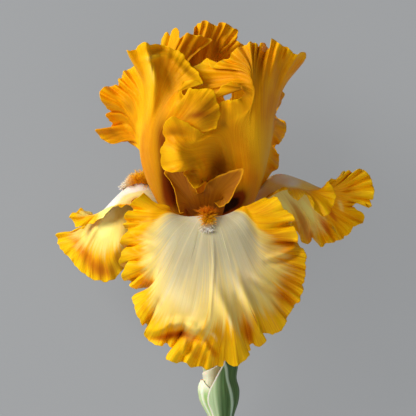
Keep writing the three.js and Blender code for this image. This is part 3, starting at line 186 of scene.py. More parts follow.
RIGHT_STANDARD = {
  "at": [0, 0.13, 0.28, 0.5, 0.74],
  "rings": [
    [3.2,1,4.5, 4.75,1,2.8, 5.4,1,1],
    [9,16.5,11, 13,20,16, 16.5,21.5,14, 17.5,19.5,8, 15.5,16,4],
    [4,28,12, 7,34,17, 13,36.5,22, 20,38.5,26, 25.5,39,19, 25.5,37,8, 22.5,32.5,2],
    [3,31.5,14, 4,40,18, 4.5,46,22, 4.5,51.5,28, 5,56.5,34, 6,59.5,38, 10,62,38, 15,64.5,38, 18.5,65.5,37.5,
     21,65.5,37, 24,65.5,36, 27,64.5,32, 30,62.5,24, 31.25,60,14, 30.5,56,5, 28.5,50,0, 25,41,-2],
    [2.5,31.5,15, 0.5,40,19, -3,44,32, -9.5,51,40, -10.5,56,43, -5.5,60,44, 4,67,40.5, 21,77.5,40.5,
     22,86,42, 21,92,42, 23,93,41, 28,90.5,38, 36,86.5,22, 33.5,76,8, 32.5,67,0, 30.5,57,-4, 25.5,39,-6],
  ],
  "rim": [
    [2.5,31,15, 1,36,17, -1,40.75,22],
    [-2.5,42,29, -2,39.5,34, -4,37.25,38, -6,36.75,40, -9,39,40, -11,42.5,39],
    [-12,44.5,36, -10,46.5,31, -11.5,45.5,37, -13.5,45,41, -16.5,44.5,43, -20,45,42],
    [-22.5,46.5,40, -23.5,50,40.5, -23,54.5,41, -21.75,58,41, -21,60.5,40, -22,63.5,42, -22.25,66,43],
    [-21.5,68.5,46, -19.5,70.5,48, -17.5,71.25,49, -14.5,70.5,48.5, -11,69,48, -8,67.25,47],
    [-5,65,46, -2.5,63.25,43, 0,64,40, 1.5,68.5,39.5, 3,75,39.5],
    [5.5,78.5,40, 9,80,41, 12.5,80.25,41.5, 15.5,80.75,42],
    [17.75,82.75,41.5, 17.25,85.25,42, 15.5,87.25,42.5, 13,88.5,42.5, 10.5,88.75,42.5, 7.75,87.25,41.5,
     5,84,39.5, 2,80.5,37],
    [-1.5,82,36, -2.25,85,35, -4.5,85.25,36, -6.25,86.5,35, -4,87.25,33, -2.25,89,31, -3.75,92,30,
     -6.5,96,28, -3.5,98,27, -0.25,101,29, 0.5,97,33, 2.5,95.75,36, 4,97.25,35, 5.75,99,37, 8,99.75,35],
    [10.5,100.5,38, 12,103,35, 14,106,38, 16.5,106.5,35, 18.5,107,38, 20.5,108.25,42, 22,108,36,
     23.5,107.5,40],
    [24.5,106,34, 26,107.75,38, 28,107.5,32, 29.5,105.5,28, 28,104,32, 30,106,37],
    [31,109.5,41, 33,109.25,37, 35.5,108,40, 37.5,106.5,36, 40,105,38, 42,103.5,33, 44.5,103,35],
    [47.5,104,30, 48.25,101.5,24, 46,99,14, 43,96.5,4, 40.5,92.5,-3, 38,88,-6],
    [37.75,84.5,-5, 37,81.5,-9, 36.5,79,-5, 34.25,77,-9, 34.75,75,-7, 32,72.5,-13, 35.5,71,-9, 38,70,-11],
    [39.75,66,-8, 38,62.5,-12, 36.5,59.5,-8, 34,59,-13, 31,57.5,-16, 33.5,55,-12],
    [36,53.5,-10, 35.5,50.5,-14, 35,47,-10, 32.5,45.5,-14, 30.5,43,-11, 28.5,39.5,-14],
    [25.5,37,-8],
  ],
}
BACK_STANDARD = {
  "at": [0, 0.13, 0.3, 0.52, 0.74],
  "rings": [
    [-2.5,1,-4.9, 0,1,-5.5, 2.5,1,-4.9],
    [-6,17,-14, 0,18,-18, 6,17,-14],
    [-16,33,-19, -9,39,-27, 0,41,-30, 9,39,-27, 16,33,-19],
    [-24,38,-21, -28,56,-29, -20,69,-33, -9,73,-35, 0,74,-36, 7,71,-35, 12,69,-34, 19,63,-31, 23.5,53,-26,
     22,41,-20],
    [-25,38,-21, -29,57,-29, -29,76,-31, -21,92,-24, -11,96,-19, -2,96,-24, 4,93.5,-29, 13,75,-33,
     22,81,-32, 29,66,-29, 28,48.5,-22],
  ],
  "rim": [
    [-25.5,37.5,-21, -29,43.5,-26, -30.5,51,-25],
    [-31,58.5,-30, -31,66,-27, -30.5,73.5,-31, -29.5,81,-27, -28.5,88.5,-31, -27.5,96,-27, -26,103.5,-28],
    [-23.5,109,-22, -22.25,110.5,-20, -23.5,112.5,-21, -22.5,114.5,-18, -20.5,115.75,-16, -19,114,-17,
     -18,117,-14],
    [-16,118,-12, -14.5,116,-10, -14,112.5,-8, -12,114,-7, -10,115,-4, -7,113.5,-5],
    [-3.5,113,-4, -0.5,112,-9, 2.5,111,-8, -1,112.5,-16, -5.5,114.5,-18, -7,117.5,-15, -5.5,120,-19,
     -3.5,120.5,-14],
    [-1.5,121.25,-15, 0.5,121,-14, 2.5,119.75,-18, 5,118.75,-16, 7,120,-17, 9,119.5,-15, 11.5,119,-18],
    [13.5,117.5,-17, 15,116.5,-19, 15,114.5,-18, 14,112,-21, 16,110.5,-19, 18,109,-21, 19.5,107,-21,
     18,102,-26, 14,96,-30],
    [10,91,-32, 7,86.5,-32, 7.5,82.5,-33, 10,81.5,-33, 12,83.5,-32, 12,87.5,-31, 15,93,-30],
    [21,97,-28, 27,97,-26, 31,94,-24, 34,90,-26],
    [36.5,85,-20, 37,80.5,-24, 34.5,76,-20, 34.5,73,-25, 38,70.5,-21],
    [39,65.5,-24, 36.5,60.5,-20, 34,57.5,-25, 35.5,53,-20, 34.5,48,-24, 31,43,-20],
    [27,38,-21],
  ],
}
FRONT_STYLE = {
  "at": [0, 0.3, 0.6],
  "rings": [
    [-1.5,4,2.6, 0,4,3.6, 1.5,4,2.6],
    [-4.5,15,8, 0,16,11, 4.5,15,8],
    [-10,25.5,21, -7,29,24, -1,29.5,23, 4,31,24, 8.5,29.5,22],
  ],
  "rim": [
    [-12,25,29, -14,24.25,30, -15,27.5,30, -16,32.5,31, -17,37,32],
    [-19,41,32, -21.5,44.5,32, -18,47,31, -12,46,30, -8,42,31, -6,36,32, -4.5,34,30],
    [-2,35.5,24.5],
    [0,39.5,27, 5,42.5,32, 11,45,35, 17,46,37, 16.5,42,36],
    [14,37,34.5, 11.5,32,32, 9,29,30, 6,27.5,28.5],
    [3,30,24],
  ],
}
BACK_STYLE = {
  "at": [0, 0.5],
  "rings": [
    [-1.5,4,2.6, 0,4,3.6, 1.5,4,2.6],
    [-2.6,15,7.4, 0,16,8.4, 2.6,15,7.4],
  ],
  "rim": [
    [-3,24,12, -3.5,32,14],
    [-2,35,16],
    [0,30,16.5],
    [2,35,16, 3.5,32,14],
    [3,24,12],
  ],
}
BACK_STYLE_TURN = 122  # degrees each way round the axis

# Folds and creases seen from the front: [height towards the viewer,half width, then points x,y].
RELIEFS = {
  "front_fall": [
    [-3,12, -18,3, -9,-0.5, 0,-2, 11,-0.5, 19,3],
    [4.5,2.25, -31,-33.5, -28,-32.5, -24,-32.75, -21,-31.5, -18,-29.5, -13.5,-29.25, -9,-30, -5.5,-32,
     -1.5,-31.4, 2,-33, 4.5,-36],
    [-4.5,2.5, -29,-37.5, -24,-37, -19,-35.5, -14,-34.5, -9,-35.5, -4,-37, -0.5,-38],
    [2.2,1.2, -11.25,-35.5, -11.5,-41.5, -11.25,-48.5],
    [2.6,1.2, -6,-33.5, -2.5,-36, -1,-40, 0,-44],
    [2.2,1.75, 0,-41, 2,-44.5, 5.5,-48],
    [3.4,2.5, 4,-13, 8,-21, 12,-30, 14.5,-37, 15.5,-43],
    [-3,2, 14,-17, 17.5,-24.5, 19.5,-31.5, 20,-40],
    [2.8,2.25, 14,-7, 18,-15, 21.5,-21.5, 24.5,-28, 26.5,-35.5],
    [-2.4,1.75, 22,-9, 27,-12, 33.5,-14.5, 43,-18.5],
    [1.2,2, 21,-6, 27,-9, 35,-11.5],
    [2.2,1.5, 44,11, 42,7, 38,4.75, 34,3.5, 30,2.75],
    [-2.4,1.6, 46,6.5, 43,3.75, 39,2, 34,0.5, 29,0],
    [-1,2, 22,15, 30,13, 39,12],
    [-1.2,1.5, 25,23, 32,22.5, 41,21.5],
    [-1.8,1.75, -39,17.5, -35,18, -30.5,20.5],
    [-1.8,1.75, -38.5,14, -34,12.5, -28,10],
    [-1.8,1.75, -38.5,7.5, -35,6, -29.5,3.5],
    [-1.6,1.75, -42,-2.5, -36,-5, -29,-6.5],
    [-1.6,1.5, -40,-8.25, -34,-9, -28.5,-10],
    [1.3,2, -40,19.5, -34,16, -29,13.5, -21.5,12],
    [1.2,2, -40,10.5, -34,8.5, -26,6],
    [1.2,2, -40.5,0.5, -34,-1, -26,-3],
    [0.5,0.8, 2.5,13, 3,0, 2,-14, 1,-28],
  ],
  "left_fall": [
    [2.6,2, -45,28, -52,22.5, -57,16.5, -61,9.5, -63,2],
    [-2.4,2.25, -50,28.5, -55.5,22.5, -60.5,16.5, -65,9.5, -67,3],
    [-1,2, -48,18.5, -50,6, -52,-5],
    [1,2.5, -43,20, -45,8.5, -47,-3],
  ],
  "right_fall": [
    [-2.6,2, 41,29.5, 46.5,20, 50.5,11],
    [2.6,1.75, 44.5,29.5, 49.5,21, 55.5,11],
    [1.6,1.5, 34,32, 40,23.5, 46.5,12.5],
    [-2.4,2, 52,31, 57,23, 62,14],
    [-1.6,2, 58.5,31, 62,29, 66,29.5],
    [1.4,1.5, 65,31, 72,35, 80,37],
    [-1.4,1.5, 66,35, 72,39, 77,41],
  ],
  "left_standard": [
    [1.6,2, -30.5,106, -28.5,100, -27,92, -26.5,81, -27.5,68.5, -29,56],
    [2.6,1.5, -32.5,100, -29,100.5, -25.5,101.25, -22.5,102.25, -19.5,102],
    [-2.4,1.75, -30.5,104, -26,104.5, -21,104.75, -16,103],
    [2,1.5, -28,98, -26,93, -25,86],
    [1.8,1.75, -19,101, -15,97, -10,92, -4.5,88.5],
    [-1.6,2, -22,98, -19,92, -17,85],
    [-1.6,3.5, -19,95, -17.5,83, -20,71, -22.5,58.5],
    [1.6,2.5, -12.5,81.5, -16,77, -20,71],
    [-1.4,1.5, -48,85, -43,79, -37,70],
    [1.2,1.5, -43,90, -39,82, -35,72],
    [-1.4,1.5, -48,73, -43,69, -37,63],
  ],
  "right_standard": [
    [4,3.5, -19,59.5, -15,54, -11.5,48, -10.5,45],
    [-3,2.25, -20,62.5, -16,63.25, -11,62.5, -6,60],
    [2.2,2, -7.5,51, -5,47, -3,43],
    [-1.4,1.5, -10.5,46, -8,42, -7,38],
    [-4,4.5, -1,42, 4,46, 10.5,49.5],
    [-2.2,2, 25.5,105, 26,97, 25,88],
    [1.6,1.5, 33,108, 33,100, 31.5,89],
    [-2.2,1.75, 37.5,103.5, 36,96, 33.5,87],
    [1.8,2, 16.5,105.5, 19.5,98, 22,89],
    [-1.2,1.75, 10.5,98, 15,92, 19.5,86],
  ],
  "back_standard": [
    [1.6,1, -4,109, -5.5,101],
    [1.6,1, 0.5,108, -1.5,101],
    [-1.6,2, -10,109, -12,100],
    [-1.6,2, 5,114, 4,103],
    [1.4,1.5, 8,116, 8,105],
  ],
}
# Strokes of painted shade (minus) and painted highlight (plus), with a little of the petals' own deeper
# colour on the hafts: [amount,half width, then points x,y].
LIGHT_AND_SHADE_STROKES = {
  "front_fall": [
    [-0.8,2, -30,-37, -24,-37, -18,-35, -12,-34.5, -7,-36, -1,-38],
    [-0.3,5, 18,18, 29,13, 38,10, 45,8],
    [-0.42,9, 43,8, 41,-5, 35,-19, 28,-28],
    [-0.2,8, -9,15, -2,11, 3,3, 4,-7],
    [0.5,9, -26,0, -18,-11.5, -8,-23, 3,-30],
    [0.45,2, 8,-22, 11,-28, 13.5,-35],
    [-0.35,3.5, -13,-42, -6,-45, 1,-48],
    [0.4,1.5, -11.5,-38, -10.5,-43.5, -9.5,-48],
    [0.4,1.5, -2.5,-32, 3,-35, 5.5,-41],
    [-0.5,2, 0,-38, 2.5,-43, 4,-47],
    [-0.35,2, 16,-28, 19,-35, 22,-40],
    [-0.3,2.5, -29,-28, -31,-22, -34,-17],
    [-0.3,7, 26,9, 32,4, 35,-2],
    [-0.2,6, -26,6, -21,-1, -18,-9],
    [-0.6,2.5, -27,-14.5, -24,-18, -21.5,-23],
    [-0.3,2.5, 18,-24, 20.5,-32, 20,-41],
  ],
  "left_fall": [
    [1,3.5, -29,40, -35,40.5, -41,38, -46.5,32.5, -52,28, -60,25.5],
    [1,2, -46,31, -53,28, -60,25.5, -67,22.5],
    [-0.7,3, -43,28, -36,31, -27,28],
    [1.1,5, -47,26, -51,19, -54.5,11],
    [-0.3,4.5, -64,5, -57,0, -49,-1],
    [1,2, -28,37, -34,37.5, -40.5,34.5],
    [-0.5,3, -72,14, -66,11, -63,6, -59,0],
    [-0.5,4, -60,-3, -53,-5, -46,-5],
    [-0.5,3, -41,3, -43,-2],
  ],
  "right_fall": [
    [1,4.5, 29,42, 38,41, 48,38],
    [1.1,2.5, 33.5,33.5, 39,28, 44.5,19.5],
    [-0.9,1.75, 39.5,33, 44.5,27, 48.5,20, 51,12],
    [1,2.25, 46,32.5, 51,25.5, 54.5,18],
    [-0.7,2, 54.5,25.5, 58.5,19, 63,12.5],
    [-0.6,1.5, 59,28.5, 62.5,24, 65.5,19],
    [0.6,2, 65,32.5, 67,28, 68.5,24],
    [-0.4,2.5, 46,27, 50,18, 52,10],
    [-0.6,4, 21,28, 25,32, 32,35, 39,36],
    [0.3,4, 59,35, 68,37, 77,39],
  ],
  "left_standard": [
    [-0.75,5, -15,20, -17.5,26, -18.5,33, -18,42, -16.5,49],
    [0.35,3.5, -8,85, -11,83, -16,76, -21,68],
    [0.55,2, -33,89, -33.5,76, -34.75,61, -34.5,51, -32.5,38.5, -25,23],
    [0.45,3, -31.5,109, -29.5,99, -28,87, -28.5,75, -32,64],
    [-0.35,4.5, -21,98, -18,89, -17,77],
    [-0.4,2, -29.5,104, -24,104.5, -17,103],
    [0.5,1.5, -32.5,100.5, -29,100.5, -25.5,101.25, -22.5,102.25, -19.5,102],
    [0.4,1.5, -29,99, -27,93, -25.5,85],
    [-0.4,2.5, -14,97, -9,93, -5,90],
    [-0.5,7, 0,83, -1,75, -5,66],
    [-0.4,2, -16,68, -9,72, -1,73],
    [-0.35,2.5, -45,81, -40,77, -37,72],
    [0.4,2.5, -50,69, -45,70, -40,68],
    [-0.45,2, -52.5,72, -48,65, -42,61],
    [0.35,4, -51,83, -45,76, -39,68],
    [-0.3,4, -44,89, -39,81, -36,74],
    [-0.75,4.5, -22,78, -22.5,65, -21,50, -19.5,33],
    [-0.22,5, -30.5,63, -29.5,47, -25.5,31],
  ],
  "right_standard": [
    [-0.55,7.5, -6,38, 0,44, 7,49, 16,53],
    [-0.95,4.5, 1,24, 7,27, 15,32, 21,39],
    [-1.4,3, 2,25, 7,26.5, 12,29, 16,32],
    [-0.6,4, 11,86, 17,84, 20,79],
    [-0.4,3, 25,107, 26,98, 24.5,85],
    [-0.4,2.5, 38.5,107, 36.5,97, 33.5,83],
    [0.5,4.5, -20,58, -18.5,52, -16,46],
    [0.8,2.5, -5,52, -2.5,47, -1,41],
    [0.2,1.5, 32.5,86, 31.5,71, 31,58.5, 28,45, 23,32],
    [-0.5,5, 15,108, 18,100, 21,89],
    [0.45,9, 14,75, 22,66, 26,53, 23,39],
    [-0.4,2.5, -22,62.5, -15,64, -6,60.5],
    [-0.35,3.5, -11,39, -8,43, -7,49, -10,55],
    [-0.45,3, 3,71, 7,68, 12,67],
    [-0.28,7, -1,51, 4,56, 11,58],
  ],
  "back_standard": [
    [-0.5,5, -9,103, -8,95, -7.5,85],
    [0.5,1.5, -3.5,111, -5.5,100],
    [0.5,1.5, 1,110, -1.5,100],
    [-0.4,4, 4,117, 4,109, 4,100],
    [0.35,4, -20,117, -18,107],
    [-0.3,7, -15,109, -6,106, 4,106],
  ],
}


# ---- The flower's place ----
METRES = 0.001  # to a millimetre
CAD_STEM_SIDES = 12


def laid_matrix():
    """From the flower's frame in millimetres to the row frame in metres, by the stem's lowest corner."""
    tilt = Matrix.Rotation(LYING_TILT, 4, "X")
    corners = [tilt @ Vector(v) for v in round_rows(STEM, CAD_STEM_SIDES, CUT_SLANT).reshape(-1, 3)]
    low = Vector([min(c[k] for c in corners) for k in range(3)])
    return Matrix.Translation(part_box("stem")[0] - low * METRES) @ tilt @ Matrix.Scale(METRES, 4)


def to_row(points):
    """Points of the flower's frame as an array of points in the row frame."""
    m = np.array(PLACE)
    return np.asarray(points, float) @ m[:3, :3].T + m[:3, 3]


def turned(points, degrees):
    """Points turned round the flower's own axis."""
    angle = math.radians(degrees)
    x, z = points[..., 0], points[..., 2]
    made = points.copy()
    made[..., 0] = x * math.cos(angle) + z * math.sin(angle)
    made[..., 2] = -x * math.sin(angle) + z * math.cos(angle)
    return made


# ---- Curves ----
def spots(numbers, size=3):
    """A table's flat list of numbers as points of some size."""
    return np.reshape(np.asarray(numbers, float), (-1, size))


def along(points, shares):
    """A smooth curve through evenly spaced points, at shares of its length."""
    p = np.asarray(points, float)
    last = len(p) - 1
    place = np.clip(np.asarray(shares, float), 0, 1) * last
    i = np.minimum(place.astype(int), last - 1)
    f = (place - i)[..., None]
    b, c = p[i], p[i + 1]
    a = np.where((i == 0)[..., None], 2 * b - c, p[np.maximum(i - 1, 0)])
    d = np.where((i == last - 1)[..., None], 2 * c - b, p[np.minimum(i + 2, last)])
    return 0.5 * (2 * b + (c - a) * f + (2 * a - 5 * b + 4 * c - d) * f**2 + (3 * b - a - 3 * c + d) * f**3)


def across(at, rows, radius):
    """A smooth curve through rows[k] at radius at[k], where the radii are unevenly spaced."""
    last = len(at) - 1
    k = min(max(int(np.searchsorted(at, radius, side="right")) - 1, 0), last - 1)
    gaps = np.diff(at)
    f = (radius - at[k]) / gaps[k]

    def rise(i):
        return (rows[i + 1] - rows[i]) / gaps[i]

    def slope(j):
        if j in (0, last):
            return rise(min(j, last - 1))
        return (rise(j - 1) * gaps[j] + rise(j) * gaps[j - 1]) / (gaps[j - 1] + gaps[j])

    start = (2 * f**3 - 3 * f**2 + 1) * rows[k] + (f**3 - 2 * f**2 + f) * gaps[k] * slope(k)
    return start + (3 * f**2 - 2 * f**3) * rows[k + 1] + (f**3 - f**2) * gaps[k] * slope(k + 1)


def smoothed(curve, sigma):
    """The curve with its points averaged over about sigma neighbours. Its ends stay where they are."""
    reach = min(int(3 * sigma) + 1, len(curve) - 1)
    weights = np.exp(-0.5 * (np.arange(-reach, reach + 1) / sigma) ** 2)
    weights /= weights.sum()
    before = 2 * curve[0] - curve[1 : reach + 1][::-1]
    after = 2 * curve[-1] - curve[-reach - 1 : -1][::-1]
    full = np.concatenate([before, curve, after])
    return np.stack([np.convolve(full[:, c], weights, "valid") for c in range(full.shape[1])], -1)


def ramp(low, high, x):
    """0 below low, 1 above high and smooth between."""
    f = np.clip((np.asarray(x, float) - low) / (high - low), 0, 1)
    return f * f * (3 - 2 * f)


SCATTER = (12.9898, 78.233, 43758.5453)  # for whole numbers, seeds and their sine


def wander(x, seed):
    """A smooth curve through scattered values from -1 to 1, one at each whole number."""
    i = np.floor(x)
    f = ramp(0, 1, x - i)

    def value(n):
        return 2 * np.modf(np.abs(np.sin(n * SCATTER[0] + seed * SCATTER[1]) * SCATTER[2]))[0] - 1

    return value(i) * (1 - f) + value(i + 1) * f


# ---- Sheets ----
MARGIN_SMOOTHING = (2.5, 1.2)  # of its folds and its frills, in margin points
MARGIN_FADES = ((0.55, 1.9), (0.68, 2.0))  # the radius where each starts, and its power
SHARE_SMOOTHING = 1.5  # margin points
PETAL_COLUMNS = 6  # to a margin point
PETAL_RADII = 1 - (1 - np.linspace(0, 1, 60)) ** 1.25  # closer together at the margin
PETAL_ROWS = PETAL_RADII[:, None]
PLEATS = (0.72, 1.3)  # the radius where they start, and the power that they grow with
FINE_PLEATS = (0.6, 0.45)  # height and pitch, in shares of the pleats'
PLEAT_SWAY = (1.2, 7)  # millimetres to a side, and turns from the claw to the margin
PLEAT_GROUPS = 23  # millimetres
TEETH_START = 0.93
TEETH = ((0.5, 1.5), (0.4, 3.6))  # height and pitch of two sizes
MAP_SCALE = 0.01  # of a map across a blade, to a millimetre
FLOOR_GAP = 0.5


def unit(v):
    return v / np.maximum(np.linalg.norm(v, axis=-1, keepdims=True), 1e-9)


def soft_normals(sheet, passes):
    """The sheet's normals averaged with their neighbours, so that a tight crimp doesn't fold them."""
    n = unit(np.cross(np.gradient(sheet, axis=0), np.gradient(sheet, axis=1)))
    for _ in range(passes):
        p = np.pad(n, ((1, 1), (1, 1), (0, 0)), mode="edge")
        n = unit(p[1:-1, 1:-1] * 2 + p[:-2, 1:-1] + p[2:, 1:-1] + p[1:-1, :-2] + p[1:-1, 2:])
    return n


def petal_sheet(petal):
    """A petal's middle surface, each point's share of the petal's width, and its place along the margin."""
    rim = [spots(stretch) for stretch in petal["rim"]]
    shares = np.concatenate([k + np.arange(len(stretch)) / len(stretch) for k, stretch in enumerate(rim)])
    shares = np.minimum(shares / (len(rim) - 1), 1)
    u = np.linspace(0, 1, (len(shares) - 1) * PETAL_COLUMNS + 1)
    margin = along(np.concatenate(rim), u)
    share = smoothed(along(shares[:, None], u), SHARE_SMOOTHING * PETAL_COLUMNS)[:, 0].clip(0, 1)
    broad, fine = [smoothed(margin, size * PETAL_COLUMNS) for size in MARGIN_SMOOTHING]
    rows = [along(spots(ring), share) for ring in petal["rings"]] + [broad]
    at = [*petal["at"], 1.0]
    sheet = []
    for radius in PETAL_RADII:
        folds, frills = [max(0, (radius - start) / (1 - start)) ** power for start, power in MARGIN_FADES]
        sheet.append(across(at, rows, radius) + folds * (fine - broad) + frills * (margin - fine))
    run = np.concatenate([[0], np.cumsum(np.linalg.norm(np.diff(fine, axis=0), axis=1))])
    return np.array(sheet), share, run


def crimped(sheet, run, seed, height, pitch):
    """The sheet with narrow pleats that grow towards its margin, and a finely cut edge."""
    lean = run + PLEAT_SWAY[0] * wander(PETAL_ROWS * PLEAT_SWAY[1] + seed, seed + 5)
    pleats = wander(lean / pitch, seed) + FINE_PLEATS[0] * wander(lean / (FINE_PLEATS[1] * pitch), seed + 1)
    pleats = pleats * (0.6 + 0.6 * wander(run / PLEAT_GROUPS, seed + 2))
    teeth = sum(high * wander(run / wide, seed + 3 + k) for k, (high, wide) in enumerate(TEETH))
    lift = height * ramp(PLEATS[0], 1.0, PETAL_ROWS) ** PLEATS[1] * pleats
    growth = ramp(TEETH_START, 1.0, PETAL_ROWS) * teeth
    outwards = unit(np.gradient(sheet, axis=0))
    return sheet + soft_normals(sheet, 6) * lift[..., None] + outwards * growth[..., None]


def near_line(sheet, line):
    """Each point's distance from a line, seen from the front, and the nearest spot's share of the line."""
    best = np.full(sheet.shape[:2], np.inf)
    share = np.zeros(sheet.shape[:2])
    for k, (a, b) in enumerate(zip(line[:-1], line[1:])):
        way = b - a
        f = np.clip(((sheet[..., :2] - a) @ way) / (way @ way), 0, 1)
        away = np.linalg.norm(sheet[..., :2] - (a + f[..., None] * way), axis=-1)
        share = np.where(away < best, (k + f) / (len(line) - 1), share)
        best = np.minimum(best, away)
    return best, share


def strokes(sheet, lines):
    """The sum of soft strokes along lines that fade towards both ends."""
    total = np.zeros(sheet.shape[:2])
    for amount, width, *line in lines:
        away, share = near_line(sheet, spots(line, 2))
        total += amount * np.exp(-((away / width) ** 2)) * (0.3 + 0.7 * np.sin(math.pi * share))
    return total


def raised(sheet, reliefs):
    """The sheet lifted towards the front along its reliefs, which fade out at the claw."""
    made = sheet.copy()
    made[..., 2] += strokes(sheet, reliefs) * ramp(0.05, 0.3, PETAL_ROWS)
    return made


# ---- Meshes ----
def linked(name, data):
    """An object of the scene that holds data."""
    made = bpy.data.objects.new(name, data)
    bpy.context.scene.collection.objects.link(made)
    return made


def mesh_object(name, verts, faces, material):
    mesh = bpy.data.meshes.new(name)
    mesh.from_pydata(np.asarray(verts).tolist(), [], faces)
    mesh.shade_smooth()
    mesh.materials.append(material)
    return linked(name, mesh)


def set_uv(mesh, per_vertex):
    """The map that Finish.place reads."""
    layer = mesh.uv_layers.new(name="blade")
    index = np.empty(len(mesh.loops), np.int32)
    mesh.loops.foreach_get("vertex_index", index)
    layer.data.foreach_set("uv", np.asarray(per_vertex, np.float32)[index].ravel())


def set_value(mesh, name, per_vertex):
    """A number at each vertex, which Finish.value reads."""
    layer = mesh.attributes.new(name, "FLOAT", "POINT")
    layer.data.foreach_set("value", np.asarray(per_vertex, np.float32).ravel())


def map_grid(u, v):
    """A map's points from their places across and out."""
    return np.stack(np.broadcast_arrays(u, v), -1).reshape(-1, 2)


def quads(*corners):
    """Faces from arrays of vertex numbers, one array for each corner."""
    return np.stack(corners, -1).reshape(-1, 4).tolist()


def walls(rings):
    """Faces between closed rings of vertex numbers."""
    ahead = np.roll(rings, -1, 1)
    return quads(rings[:-1], ahead[:-1], ahead[1:], rings[1:])


def fan(ring, tip):
    """Faces from a ring of vertex numbers to one vertex."""
    return [(a, b, tip) for a, b in zip(ring.tolist(), np.roll(ring, -1).tolist())]


def solid_faces(rows, columns):
    """Faces of a closed solid between two sheets of the same size, the first in front."""
    front = np.arange(rows * columns).reshape(rows, columns)
    back = front + front.size
    return (
        quads(front[:-1, :-1], front[:-1, 1:], front[1:, 1:], front[1:, :-1])
        + quads(back[:-1, :-1], back[1:, :-1], back[1:, 1:], back[:-1, 1:])
        + quads(front[0, :-1], back[0, :-1], back[0, 1:], front[0, 1:])
        + quads(front[-1, 1:], back[-1, 1:], back[-1, :-1], front[-1, :-1])
        + quads(front[1:, 0], back[1:, 0], back[:-1, 0], front[:-1, 0])
        + quads(front[:-1, -1], back[:-1, -1], back[1:, -1], front[1:, -1])
    )


def face_outwards(mesh):
    """Flips the faces of a closed mesh that is inside out: its volume comes out below nothing."""
    co = np.empty(len(mesh.vertices) * 3)
    mesh.vertices.foreach_get("co", co)
    mesh.calc_loop_triangles()
    tris = np.empty(len(mesh.loop_triangles) * 3, np.int32)
    mesh.loop_triangles.foreach_get("vertices", tris)
    a, b, c = co.reshape(-1, 3)[tris.reshape(-1, 3)].transpose(1, 0, 2)
    if np.einsum("ij,ij->i", a, np.cross(b, c)).sum() < 0:
        mesh.flip_normals()


def add_piece(name, verts, faces, material, node):
    """A piece in the flower's frame that rides on the root and takes the place of a CAD node."""
    made = mesh_object(name, to_row(verts), faces, material)
    face_outwards(made.data)
    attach(made, "root")
    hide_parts(node)
    return made.data


def clear_of_floor(sheet):
    """The sheet with any point under the floor lifted just clear of it."""
    up = np.array([0, math.sin(LYING_TILT), math.cos(LYING_TILT)])
    low = np.maximum(0, FLOOR_GAP - to_row(sheet)[..., 2] / METRES)
    return sheet + low[..., None] * up


def blade(name, sheet, thickness, material, node, uv, values):
    """A thin solid on a middle sheet. thickness may differ from row to row."""
    sheet = clear_of_floor(sheet)
    half = soft_normals(sheet, 3) * np.reshape(thickness, (-1, 1, 1)) / 2
    verts = np.concatenate([(sheet + half).reshape(-1, 3), (sheet - half).reshape(-1, 3)])
    mesh = add_piece(name, verts, solid_faces(*sheet.shape[:2]), material, node)
    set_uv(mesh, np.tile(uv, (2, 1)))
    for key, value in values.items():
        set_value(mesh, key, np.tile(value.ravel(), 2))


